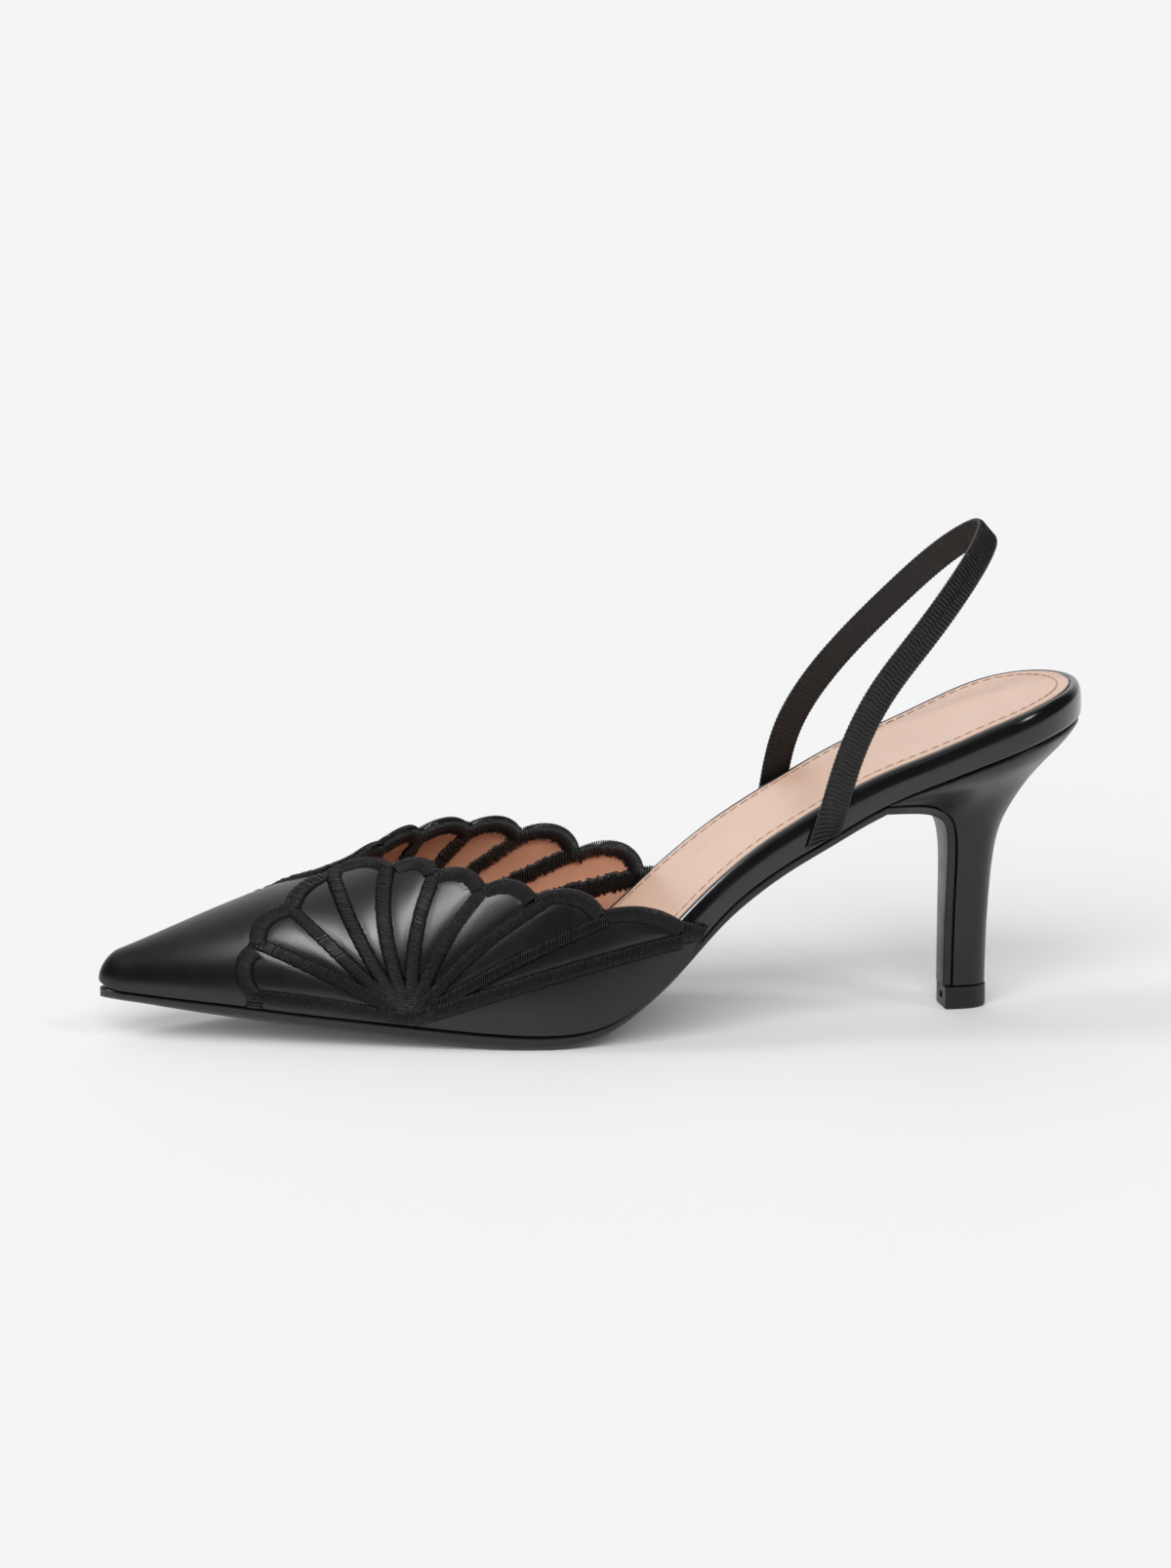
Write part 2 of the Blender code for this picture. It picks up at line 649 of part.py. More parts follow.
def make_net(side, name, collection):
    """The raised satin-stitch shell: a flat net with petal openings, laid on the wall and thickened."""
    shape = bmesh.new()
    outlines = [net_outline(side)] + [petal(side, index) for index in range(len(RIBS) - 1)]
    for outline in outlines:
        corners = [shape.verts.new((p, h, 0.0)) for p, h in outline]
        for i, corner in enumerate(corners):
            shape.edges.new((corner, corners[(i + 1) % len(corners)]))
    bmesh.ops.triangle_fill(shape, use_beauty=True, edges=shape.edges, normal=(0, 0, 1))
    shape.verts.index_update()
    points = []
    for vert in shape.verts:
        x, girth = fan_place(side, vert.co.x, vert.co.y)
        girth = min(girth, ridge_girth(side, x) - RIDGE_CLEAR[side])
        points.append(wall_point(side, x, girth) + NET_LIFT * wall_normal(side, x, girth))
    faces = []
    for face in shape.faces:
        corners = [vert.index for vert in face.verts]
        upright = face.normal.z > 0
        faces.append(corners if upright == (side == LATERAL) else corners[::-1])
    shape.free()
    net = add_object(name, points, faces, "black_thread", collection, closed=False)
    thread = net.modifiers.new("Thread", "SOLIDIFY")
    thread.thickness = NET_THICKNESS * MM
    thread.offset = 1.0


def make_footbed(collection):
    """The insole board with its wrapped edge: thin inside the upper, thick and rounded where it shows."""
    rings = []
    for layer in FOOTBED_EDGE:
        height = lambda x, row=layer: feather_z(x) + row.share * (footbed_z(x) - feather_z(x)) - row.sink
        inset = FOOTBED_INSET + layer.inset
        rings.append(plan_ring(inset, inset + FOOTBED_TOE_CLEAR, height))
    points, faces = loft(rings, 0)
    add_object("footbed", points, faces, "black_patent_edge", collection)


def make_sock(collection):
    """The leather sock in the footbed's recess, from toe to heel."""
    rings = []
    for layer in SOCK_EDGE:
        inset = SOCK_INSET + layer.inset
        height = lambda x, row=layer: footbed_z(x) + row.rise
        rings.append(plan_ring(inset, inset + FOOTBED_TOE_CLEAR, height))
    points, faces = loft(rings, 0)
    add_object("insole_sock", points, faces, "tan_leather", collection)


def heel_sections():
    """The heel's table, read more finely along a smooth line through each column."""
    rows = np.arange(len(HEEL))
    columns = [natural_spline(rows, [getattr(row, name) for row in HEEL]) for name in Section._fields]
    steps = np.linspace(0, len(HEEL) - 1, HEEL_RINGS)
    return [Section(*(column(step) for column in columns)) for step in steps]


def heel_ring(row, height=None):
    """A section with a flat front and a round back: lateral front corner, back, medial front corner."""
    widest = row.belly * np.linspace(0.0, 1.0, HEEL_FRONT_STEPS + 1)
    behind = row.belly + (1 - row.belly) * np.sin(np.radians(np.linspace(0, 90, HEEL_BACK_STEPS + 1)))[1:]
    shares = np.concatenate([widest, behind])
    swell = row.front_half + (row.half - row.front_half) * np.sin(np.pi / 2 * widest / row.belly)
    past = (behind - row.belly) / (1 - row.belly)
    halves = np.concatenate([swell, row.half * np.sqrt(np.clip(1 - past**2, 0, 1))])
    x = row.front_x + (row.back_x - row.front_x) * shares
    if height is None:
        ends = feather_z(row.front_x) + (feather_z(row.back_x) - feather_z(row.front_x)) * shares
        z = row.front_z + (row.back_z - row.front_z) * shares + row.follow * (feather_z(x) - ends)
    else:
        z = height(x)
    middle = axis_y(x) + row.follow * SEAT_SHIFT
    lateral = np.stack([x, middle - halves, z], axis=1)
    medial = np.stack([x, middle + halves, z], axis=1)
    return np.concatenate([lateral, medial[-2::-1]])


def make_heel(collection):
    """The covered heel, from the tip up through the flare to the seat under the footbed."""
    rings = [heel_ring(row) for row in heel_sections()]
    seat = HEEL[-1]._replace(front_x=SEAT_FRONT_X, back_x=SEAT_BACK_X)
    rings.append(heel_ring(seat, lambda x: feather_z(x) - GAP))
    points, faces = loft(rings, len(rings[0]) - 1)
    add_object("heel", points, faces, "black_heel_cover", collection)


def make_top_piece(collection, cutters):
    """The hard tip under the heel."""
    row = HEEL[0]._replace(
        front_x=TOP_PIECE_FRONT_X,
        back_x=TOP_PIECE_BACK_X,
        half=TOP_PIECE_HALF,
        front_half=TOP_PIECE_FRONT_HALF,
    )
    small = row._replace(
        front_x=row.front_x + TOP_PIECE_CHAMFER,
        back_x=row.back_x - TOP_PIECE_CHAMFER,
        half=row.half - TOP_PIECE_CHAMFER,
        front_half=row.front_half - TOP_PIECE_CHAMFER,
    )
    levels = [(small, 0.0), (row, TOP_PIECE_CHAMFER), (row, TOP_PIECE_HEIGHT)]
    rings = [heel_ring(section, lambda x, z=z: np.full_like(x, z)) for section, z in levels]
    points, faces = loft(rings, len(rings[0]) - 1)
    piece = add_object("top_piece", points, faces, "black_plastic", collection)
    shape = bmesh.new()
    bmesh.ops.create_cube(shape, size=1.0)
    bmesh.ops.scale(shape, verts=shape.verts, vec=(2 * SLOT_DEPTH * MM, SLOT_WIDTH * MM, SLOT_HEIGHT * MM))
    mesh = bpy.data.meshes.new("top_piece_slot")
    shape.to_mesh(mesh)
    shape.free()
    slot = bpy.data.objects.new("top_piece_slot", mesh)
    slot.location = (TOP_PIECE_FRONT_X * MM, (axis_y(TOP_PIECE_FRONT_X) + CENTRE_Y) * MM, SLOT_Z * MM)
    slot.hide_render = True
    slot.display_type = "WIRE"
    cutters.objects.link(slot)
    cut = piece.modifiers.new("Slot", "BOOLEAN")
    cut.operation = "DIFFERENCE"
    cut.object = slot


def sole_ring(inner, outward, lateral, medial, edge, drop, bevel):
    """A section of the outsole. inner (x, z) lies against the footbed or heel, outward points away."""
    depths = (0.0, edge, edge + drop)
    x = [inner[0] + outward[0] * depth for depth in depths]
    z = [max(0.0, inner[1] + outward[1] * depth) for depth in depths]
    sides = (lateral, lateral, lateral + bevel, medial - bevel, medial, medial)
    levels = (0, 1, 2, 2, 1, 0)
    return np.array([(x[level], y, z[level]) for level, y in zip(levels, sides)])


def make_outsole(collection):
    """The outsole, from the toe through the arch to the heel, and down the heel breast as a thin flap."""
    rings = []
    quarter = np.radians(np.linspace(SOLE_TIP_ANGLE, 90, NOSE_STEPS))
    nose = TOE_X + FOREPART_INSET + NOSE_ROUND * (1 - np.cos(quarter))
    for x in np.concatenate([nose, np.linspace(nose[-1], WAIST_END_X, SOLE_STEPS)[1:]]):
        waist = ease(x, WAIST_FROM_X, WAIST_TO_X)
        inset = FOREPART_INSET + (WAIST_INSET - FOREPART_INSET) * waist
        lateral = outline_y(LATERAL, x, inset, FOREPART_INSET)
        medial = outline_y(MEDIAL, x, inset, FOREPART_INSET)
        bevel = FOREPART_BEVEL + (WAIST_BEVEL - FOREPART_BEVEL) * waist
        bevel = min(bevel, BEVEL_LIMIT * (medial - lateral))
        inner = (x, feather_z(x) - GAP)
        rings.append(sole_ring(inner, (0, -1), lateral, medial, sole_edge(x), sole_drop(x), bevel))
    front = heel_sections()[::-1]
    line = np.array([(row.front_x, row.front_z) for row in front])
    along = np.gradient(line, axis=0)
    along /= np.linalg.norm(along, axis=1)[:, None]
    outward = np.stack([along[:, 1], -along[:, 0]], axis=1)
    for row, place, out in zip(front, line, outward):
        middle = axis_y(row.front_x) + row.follow * SEAT_SHIFT
        reach = row.front_half - GAP
        inner = place + GAP * out
        thin = BREAST_FLAP - FLAP_BEVEL
        rings.append(sole_ring(inner, out, middle - reach, middle + reach, thin, FLAP_BEVEL, FLAP_BEVEL))
    points, faces = loft(rings, 5)
    add_object("outsole", points, faces, "black_sole", collection)


def sling_frames(columns, at):
    """The sling's centre line at some distances along it, with its width and face directions there."""
    steps = (0.0, -TANGENT_STEP, TANGENT_STEP)
    centre, before, behind = (np.stack([column(at + step) for column in columns], axis=1) for step in steps)
    along = behind - before
    along /= np.linalg.norm(along, axis=1)[:, None]
    lean = np.array(SLING_LEAN)
    width = lean - (along @ lean)[:, None] * along
    width /= np.linalg.norm(width, axis=1)[:, None]
    return centre, width, np.cross(along, width)


def make_sling(collection):
    """The elastic strap: a flat band swept along its centre line, its width square to the line."""
    wide = SLING_WIDTH / 2
    thick = SLING_THICKNESS / 2
    corners = [
        (-wide, -thick + SLING_CORNER), (-wide + SLING_CORNER, -thick),
        (wide - SLING_CORNER, -thick), (wide, -thick + SLING_CORNER),
        (wide, thick - SLING_CORNER), (wide - SLING_CORNER, thick),
        (-wide + SLING_CORNER, thick), (-wide, thick - SLING_CORNER),
    ]
    line = np.array(SLING)
    run = run_length(line)
    columns = [natural_spline(run, line[:, i]) for i in range(3)]
    start = SLING_CUT * wide
    at = np.linspace(start, run[-1], SLING_STEPS)
    strands = []
    for across, out in corners:
        place = at + SLING_CUT * across * np.clip(1 - (at - start) / SLING_CUT_RUN, 0, 1)
        centre, width, face = sling_frames(columns, place)
        strands.append(centre + across * width + out * face)
    rings = list(np.stack(strands, axis=1))
    points, faces = loft(rings, 7)
    add_object("sling_strap", points, faces, "black_elastic", collection)


def main():
    for old in list(bpy.data.objects):
        bpy.data.objects.remove(old, do_unlink=True)
    collection = bpy.data.collections.new(COLLECTION)
    cutters = bpy.data.collections.new("Cutters")
    bpy.context.scene.collection.children.link(collection)
    bpy.context.scene.collection.children.link(cutters)
    make_upper(collection)
    make_net(LATERAL, "shell_embroidery_lateral", collection)
    make_net(MEDIAL, "shell_embroidery_medial", collection)
    make_footbed(collection)
    make_sock(collection)
    make_outsole(collection)
    make_heel(collection)
    make_top_piece(collection, cutters)
    make_sling(collection)


if __name__ == "__main__":
    main()
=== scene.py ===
"""Looks of the slingback heeled mule: grained leather with a stitched shell on each side, tan lining and
sock, glossy footbed edge, covered heel and a ribbed elastic sling.

All sizes are in millimetres until a piece is made. +X points to the heel, +Y to the inner (medial) side
of the foot and +Z up, as in the part's source, whose tables are repeated here.
"""

import json
from collections import namedtuple

import bmesh
import bpy
import numpy as np
from mathutils import Matrix, Vector

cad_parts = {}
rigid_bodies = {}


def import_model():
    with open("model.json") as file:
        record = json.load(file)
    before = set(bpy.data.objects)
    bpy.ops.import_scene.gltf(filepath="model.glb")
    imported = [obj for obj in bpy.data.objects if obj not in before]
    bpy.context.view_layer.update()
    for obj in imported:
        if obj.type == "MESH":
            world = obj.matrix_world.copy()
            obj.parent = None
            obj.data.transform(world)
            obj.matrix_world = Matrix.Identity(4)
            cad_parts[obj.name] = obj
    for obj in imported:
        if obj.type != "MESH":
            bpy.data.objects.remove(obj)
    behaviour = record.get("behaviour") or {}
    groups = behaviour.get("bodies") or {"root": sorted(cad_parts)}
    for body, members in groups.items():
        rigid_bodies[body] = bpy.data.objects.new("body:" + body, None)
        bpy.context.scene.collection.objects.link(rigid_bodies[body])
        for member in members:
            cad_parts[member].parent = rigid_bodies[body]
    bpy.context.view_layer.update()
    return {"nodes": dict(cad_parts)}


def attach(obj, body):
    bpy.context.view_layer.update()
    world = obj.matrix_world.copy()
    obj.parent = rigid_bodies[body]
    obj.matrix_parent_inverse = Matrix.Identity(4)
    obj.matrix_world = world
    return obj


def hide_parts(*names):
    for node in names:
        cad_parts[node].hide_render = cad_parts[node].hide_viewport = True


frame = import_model()
rng = np.random.default_rng(7)

MM = 0.001
TINY = 1e-9

# The last, as in the part's source
LENGTH = 240.6
BALL_WIDTH = 72.0
HEEL_HEIGHT = 69.6
INSTEP_HEIGHT = 84.0
UPPER_WALL = 1.8
GAP = 0.3
TOE_X = -LENGTH / 2
HEEL_X = LENGTH / 2
HALF_BALL = BALL_WIDTH / 2
CENTRE_Y = 1.071
FOOTBED_INSET = UPPER_WALL + GAP
NOSE_ROUND = 5.0
SEAT_ROUND = 25.0
NOSE_HEIGHT = 13.8
WALL_RISE = 0.48
CROWN = 0.50
WALL_BULGE = 1.3

LATERAL = -1
MEDIAL = 1
SIDES = {LATERAL: "lateral", MEDIAL: "medial"}


def table(columns, rows):
    """Rows of numbers with named columns."""
    row = namedtuple("Row", columns)
    return [row(*numbers) for numbers in rows]


# The last in plan. along: share of the length from the toe. axis: the centre line's y in mm.
# lateral, medial: half widths as shares of half the ball width.
PLAN = table("along axis lateral medial", [
    (0.000, 0.0, 0.105, 0.110),
    (0.030, 0.1, 0.190, 0.200),
    (0.070, 0.3, 0.310, 0.330),
    (0.130, 0.5, 0.475, 0.500),
    (0.190, 0.6, 0.625, 0.665),
    (0.250, 0.5, 0.755, 0.805),
    (0.310, 0.2, 0.865, 0.915),
    (0.375, -0.5, 0.955, 0.980),
    (0.430, -1.2, 0.995, 0.965),
    (0.480, -2.0, 0.985, 0.905),
    (0.540, -3.2, 0.915, 0.775),
    (0.600, -4.3, 0.835, 0.705),
    (0.670, -5.0, 0.775, 0.690),
    (0.740, -5.0, 0.755, 0.740),
    (0.810, -4.4, 0.770, 0.805),
    (0.880, -3.2, 0.790, 0.850),
    (0.940, -1.8, 0.800, 0.860),
    (1.000, -0.2, 0.800, 0.860),
])

# The last from the side. feather: underside of the footbed and of the upper. top: upper face of the
# footbed. Both are shares of the heel height.
PROFILE = table("along feather top", [
    (0.000, 0.176, 0.212),
    (0.060, 0.158, 0.195),
    (0.130, 0.139, 0.174),
    (0.200, 0.117, 0.152),
    (0.270, 0.096, 0.130),
    (0.340, 0.073, 0.107),
    (0.390, 0.060, 0.096),
    (0.430, 0.056, 0.100),
    (0.465, 0.066, 0.134),
    (0.500, 0.104, 0.209),
    (0.525, 0.157, 0.291),
    (0.550, 0.227, 0.379),
    (0.580, 0.335, 0.482),
    (0.610, 0.446, 0.574),
    (0.640, 0.531, 0.653),
    (0.680, 0.618, 0.739),
    (0.720, 0.692, 0.815),
    (0.770, 0.786, 0.898),
    (0.830, 0.868, 0.976),
    (0.890, 0.939, 1.058),
    (0.950, 1.006, 1.125),
    (1.000, 1.050, 1.164),
])

# The centre ridge of the last. height: share of the instep height. shift: how far the ridge lies to the
# medial side of the plan's axis, in mm.
RIDGE = table("along height shift", [
    (0.000, 0.229, 0.0),
    (0.038, 0.268, 0.0),
    (0.078, 0.312, 0.1),
    (0.117, 0.355, 0.2),
    (0.157, 0.396, 0.3),
    (0.196, 0.427, 0.4),
    (0.236, 0.456, 0.6),
    (0.263, 0.488, 0.9),
    (0.292, 0.535, 1.4),
    (0.321, 0.588, 2.0),
    (0.375, 0.680, 2.6),
    (0.438, 0.780, 3.0),
    (0.500, 0.875, 3.0),
    (0.600, 1.000, 3.0),
])

# The shell's ribs. turn: degrees up from the heelward direction. lateral, medial: distance from the hub
# to the valley in mm. rise: how much higher the medial valley lies. aim, medial_aim: how far in front of
# the valley the rib ends. sway: how far its middle bows toward the toe. bulge, medial_bulge: how far the
# scallop behind the rib stands out from its chord.
RIBS = table("turn lateral medial rise aim medial_aim sway bulge medial_bulge", [
    (185.3, 34.8, 36.3, 0.0, -1.1, -1.1, -0.9, 3.4, 3.4),
    (162.7, 35.4, 38.4, 0.0, -0.9, -0.9, -0.8, 2.6, 2.6),
    (137.7, 33.9, 36.2, 0.0, -0.4, -0.4, 1.3, 2.2, 2.2),
    (106.8, 41.0, 41.0, 0.0, 0.5, 0.5, 4.7, 3.2, 3.2),
    (88.4, 36.6, 38.7, 0.0, 1.0, 1.0, 3.9, 3.3, 3.6),
    (72.3, 33.4, 36.4, 0.0, -0.4, -0.4, 2.7, 2.7, 3.0),
    (50.5, 32.2, 38.2, 0.0, -1.4, -1.2, 2.7, 2.7, 3.0),
    (30.3, 37.2, 43.6, 0.3, -3.3, -1.6, 2.8, 3.2, 3.8),
    (12.2, 49.0, 53.2, 1.0, -3.1, -0.6, 1.9, 2.2, 4.3),
    (0.7, 67.0, 67.5, 2.2, -4.5, -2.2, 1.9, 0.0, 0.0),
])

# The fan's hub, the widths of its ribs and border, the room kept beside the ridge, how its base line
# climbs toward the heel, and the corners of its tail and of its front foot
HUB_X = -51.5
HUB_RISE = 5.0
THROAT_RIB = 3
ROOT = (2.9, -3.8)
FIRST_RIB_HALF = 1.5
RIB_HALF = 1.8
LAST_RIB_HALF = 2.0
BORDER = 3.8
RIDGE_CLEAR = {LATERAL: 2.2, MEDIAL: 1.2}
BASE_CLIMB = 0.29
BASE_EASE = 6.0
TAIL_TOP = {LATERAL: (73.0, -2.2), MEDIAL: (74.5, 0.8)}
TAIL_FOOT = (70.8, -4.9)
FOOT_INNER = -31.6

# The outsole under the footbed. edge: height of its side in mm. drop: how far the tread lies below that.
SOLE = table("along edge drop", [
    (0.000, 1.6, 0.7),
    (0.060, 1.9, 1.1),
    (0.130, 2.1, 1.5),
    (0.270, 2.2, 1.9),
    (0.360, 2.2, 2.1),
    (0.430, 2.2, 2.1),
    (0.480, 2.0, 1.4),
    (0.520, 1.6, 0.8),
    (0.560, 1.9, 0.5),
    (0.610, 2.5, 0.4),
    (0.680, 2.1, 0.4),
    (0.780, 1.9, 0.4),
])
WAIST_END_X = 62.0
FOREPART_INSET = 0.3
WAIST_INSET = 3.0
FOREPART_BEVEL = 5.0
WAIST_BEVEL = 1.2
WAIST_FROM_X = -22.0
WAIST_TO_X = 26.0
BREAST_FLAP = 2.1
FLAP_BEVEL = 0.6
SOLE_TIP_ANGLE = 5
BEVEL_LIMIT = 0.3

# The heel from its tip up to the rim below the seat: where each section's front and back lie, half its
# width, half the width of its flat front, the share of its length where it is widest, and how much of the
# seat's curve it follows.
Section = namedtuple("Section", "front_x front_z back_x back_z half front_half belly follow")
HEEL = [
    Section(88.0, 6.0, 97.0, 6.0, 4.8, 4.5, 0.45, 0.0),
    Section(88.1, 16.0, 97.2, 16.0, 5.1, 4.7, 0.45, 0.0),
    Section(88.3, 27.0, 97.7, 27.0, 5.6, 5.2, 0.45, 0.0),
    Section(88.5, 37.0, 98.7, 37.6, 6.6, 6.0, 0.45, 0.0),
    Section(88.1, 43.8, 100.4, 45.2, 8.0, 7.0, 0.46, 0.0),
    Section(86.6, 48.2, 103.2, 50.8, 10.4, 8.6, 0.47, 0.1),
    Section(83.2, 51.2, 107.0, 56.4, 13.8, 11.2, 0.48, 0.3),
    Section(78.6, 53.0, 111.2, 61.4, 18.2, 15.0, 0.50, 0.55),
    Section(73.0, 54.2, 115.6, 66.4, 22.9, 19.8, 0.52, 0.8),
    Section(67.4, 54.8, 119.0, 71.2, 25.6, 22.8, 0.53, 1.0),
]
SEAT_SHIFT = 1.0

# The heel's rim swells out to the footbed's edge and rounds in under it, which leaves a groove.
# share: how far up from the last section to the seat. inset: how far in from the rim.
HEEL_LIP = table("share inset", [(0.30, 0.02), (0.55, 0.14), (0.75, 0.36), (0.90, 0.70), (1.00, 1.20)])
RIM_SWELL = 0.9
RIM_SWELL_FROM = 7.2

# The footbed's edge from its underside to the recess for the sock. inset: how far in from the widest
# line. share: height as a share of the footbed's thickness. sink: how far below that, in mm.
FOOTBED_EDGE = table("inset share sink", [
    (0.90, 0.00, 0.00),
    (0.45, 0.01, 0.00),
    (0.15, 0.035, 0.00),
    (0.03, 0.07, 0.00),
    (0.00, 0.14, 0.00),
    (0.00, 0.35, 0.00),
    (0.04, 0.52, 0.00),
    (0.14, 0.66, 0.00),
    (0.34, 0.78, 0.00),
    (0.62, 0.87, 0.00),
    (0.95, 0.935, -0.01),
    (1.32, 0.975, -0.04),
    (1.75, 0.998, -0.10),
    (2.20, 1.00, -0.12),
    (2.55, 1.00, -0.06),
    (2.75, 1.00, 0.08),
    (2.85, 1.00, 0.50),
])
FOOTBED_TOE_CLEAR = 1.6
SOCK_INSET = FOOTBED_INSET + FOOTBED_EDGE[-1].inset + GAP
SOCK_RISE = 0.30

# The elastic sling's centre line, from its lateral anchor round the back of the heel to the medial anchor
SLING = table("x y z", [
    (49.5, -31.4, 45.0),
    (50.7, -31.6, 48.8),
    (51.9, -31.7, 52.4),
    (53.0, -31.5, 56.0),
    (54.3, -31.0, 60.2),
    (58.3, -29.5, 70.6),
    (65.4, -27.9, 83.0),
    (75.4, -25.6, 95.0),
    (85.8, -20.2, 106.6),
    (93.8, -10.6, 114.8),
    (96.4, -2.4, 117.4),
    (94.4, 5.2, 115.4),
    (88.5, 11.6, 109.8),
    (78.6, 16.2, 99.8),
    (66.9, 18.6, 87.6),
    (57.7, 19.4, 76.4),
    (52.0, 19.9, 66.0),
    (49.2, 20.0, 55.6),
    (47.9, 20.0, 47.4),
])
SLING_WIDTH = 7.0
SLING_LEAN = (0.65, 0.0, -0.76)
SLING_CUT = 0.85
SLING_CUT_RUN = 10.0
TANGENT_STEP = 0.1

# Leather skin
NOSE_COLUMNS = 16
VAMP_COLUMNS = 24
FAN_COLUMNS = 56
FAN_FROM_X = -90.0
SCALLOP_COLUMNS = 17
SKIN_ROWS = 96
PETAL_PUFF = 0.18
PETAL_EDGE = 0.8
OUTSIDE_PETAL = -10.0
SKIN_WAVE = 0.05
WAVE_ALONG = 6.0
WAVE_UP = 5.0
WAVE_FADE = 6.0
THROAT_DROP = 0.4
TOPLINE_DROP = 1.2
DROP_RUN = (-10.0, 6.0)
SECTION_SAMPLES = 49
NORMAL_STEP = 0.4

# Thread: distance between stitches, thread radius, how deep its ends go into the leather, and the crown
PITCH = 0.50
THREAD = 0.21
THREAD_SINK = 0.15
BOW = 3.4
RIB_CROWN = 0.95
BORDER_CROWN = 0.95
STITCH_SLANT = 0.5
STITCH_POINTS = 7
THREAD_SIDES = 5
RIB_START = 0.8
RIB_ROOT_RISE = 0.5
RIB_FULL = 12.0
RIB_OVER = -0.2
FRAY = 0.12
LINING_THREAD = 0.32
LINING_PITCH = 0.6
LINING_CROWN = 0.55
LINING_FRAY = 0.55
LINING_WIDER = 0.3
LINING_FIRST_RIB = 2

# How far single stitches differ: ends, crown and radius of a laid one, then the turns, inner end and
# radius of one that wraps the topline
END_SPREAD = (-0.3, 1.0)
CROWN_SPREAD = (0.82, 1.08)
RADIUS_SPREAD = (0.9, 1.08)
TURN_SPREAD = (-0.03, 0.04)
INNER_SPREAD = (-0.1, 0.3)
WRAP_SPREAD = (0.92, 1.1)
RIM_STEP = 0.4

# Bars of stitches: at the shell's front foot, under the hub and at the tail of the topline
FRONT_TOP = 0.8
FRONT_OUT = 0.6
FRONT_FOOT_OUT = 1.0
HUB_BAR_Z = -1.5
HUB_BAR_TOP = (-3.0, 6.8)
HUB_BAR_FOOT = (-1.5, 5.2)
TAIL_STEP = 0.4

# Sock: steps across, dish and rolled edge, thickness, and its seam of separate stitches
SOCK_ACROSS = 28
SOCK_DISH = 0.5
SOCK_DISH_RUN = (2.0, 18.0)
SOCK_ROLL = 0.3
SOCK_ROLL_REACH = 0.35
SOCK_THICKNESS = 0.75
SOCK_SEAM_INSET = 3.0
SOCK_SEAM_FROM_X = -40.0
SOCK_STITCH = 2.3
SOCK_STITCH_STEP = 3.0
SOCK_STITCH_POINTS = 6
SOCK_STITCH_SINK = 0.16
SOCK_THREAD = 0.26

# Heel and outsole: steps of their sections. SOLE_UPRIGHT is the share of the sole's edge that stands
# upright, with the depths (shares of the edge) and insets of its upper lines.
HEEL_FRONT_STEPS = 10
HEEL_BACK_STEPS = 22
HEEL_RINGS = 90
SOLE_STATIONS = 150
SOLE_NOSE = 14
SOLE_ROUND = 8
SOLE_UPRIGHT = 0.55
SOLE_EDGE_DEPTHS = np.array([0.0, 0.06, 0.18, 0.33, 0.46])
SOLE_EDGE_INSETS = [0.60, 0.22, 0.04, 0.0, 0.05]
SOLE_ROUND_INSET = 0.15

# Edges sharper than these angles in degrees stay sharp
FOOTBED_CREASE = 50
CREASE = 40

# Top piece: width and steps of its rounded edges
TIP_BEVEL = 0.25
TIP_BEVEL_STEPS = 3

# Sling weave: its ribs, and the beads along its edges
SLING_RIB = 1.05
SLING_STEP = 0.15
SLING_FACE = 0.30
SLING_FACE_POINTS = 11
SLING_RIB_HEIGHT = 0.52
SLING_INNER_FACE = 1.1
SLING_INNER_RIB = 0.1
SLING_STAGGER = 0.35
SLING_BEAD = 0.55
SLING_BEAD_MEAN = 0.90
SLING_BEAD_WAVE = 0.12
SLING_BEAD_TURN = 75
SLING_BEAD_POINTS = 7
SLING_BEAD_SEAT = 0.45

# Photograph: its size and the pinhole camera that it was read through
PHOTO_HEIGHT = 1607
SENSOR = 36.0
CAMERA_TARGET = (-0.0018, 0.00107, 0.0575)
CAMERA_YAW = np.radians(10.0)
CAMERA_ELEVATION = np.radians(10.5)
CAMERA_DISTANCE = 1.5
PIXELS_PER_METRE = 4240


def natural_spline(x, y):
    """A natural cubic spline through the points, as a function."""
    x = np.asarray(x, float)
    y = np.asarray(y, float)
    h = np.diff(x)
    slope = np.diff(y) / h
    count = len(x)
    system = np.eye(count)
    right = np.zeros(count)
    for i in range(1, count - 1):
        system[i, i - 1 : i + 2] = h[i - 1], 2 * (h[i - 1] + h[i]), h[i]
        right[i] = 6 * (slope[i] - slope[i - 1])
    bend = np.linalg.solve(system, right)

    def value(at):
        i = np.clip(np.searchsorted(x, at) - 1, 0, count - 2)
        t = at - x[i]
        first = slope[i] - h[i] * (2 * bend[i] + bend[i + 1]) / 6
        return y[i] + t * (first + t * (bend[i] / 2 + t * (bend[i + 1] - bend[i]) / (6 * h[i])))

    return value


def along_spline(rows, column, scale=1.0):
    """One column of a table as a smooth function of x."""
    x = [TOE_X + row.along * LENGTH for row in rows]
    return natural_spline(x, [getattr(row, column) * scale for row in rows])


axis_y = along_spline(PLAN, "axis")
half_lateral = along_spline(PLAN, "lateral", HALF_BALL)
half_medial = along_spline(PLAN, "medial", HALF_BALL)
feather_z = along_spline(PROFILE, "feather", HEEL_HEIGHT)
footbed_z = along_spline(PROFILE, "top", HEEL_HEIGHT)
ridge_z = along_spline(RIDGE, "height", INSTEP_HEIGHT)
ridge_shift = along_spline(RIDGE, "shift")
sole_edge = along_spline(SOLE, "edge")
sole_drop = along_spline(SOLE, "drop")


def ease(x, start, end):
    """A smooth step from 0 at start to 1 at end."""
    t = np.clip((x - start) / (end - start), 0.0, 1.0)
    return t * t * (3.0 - 2.0 * t)


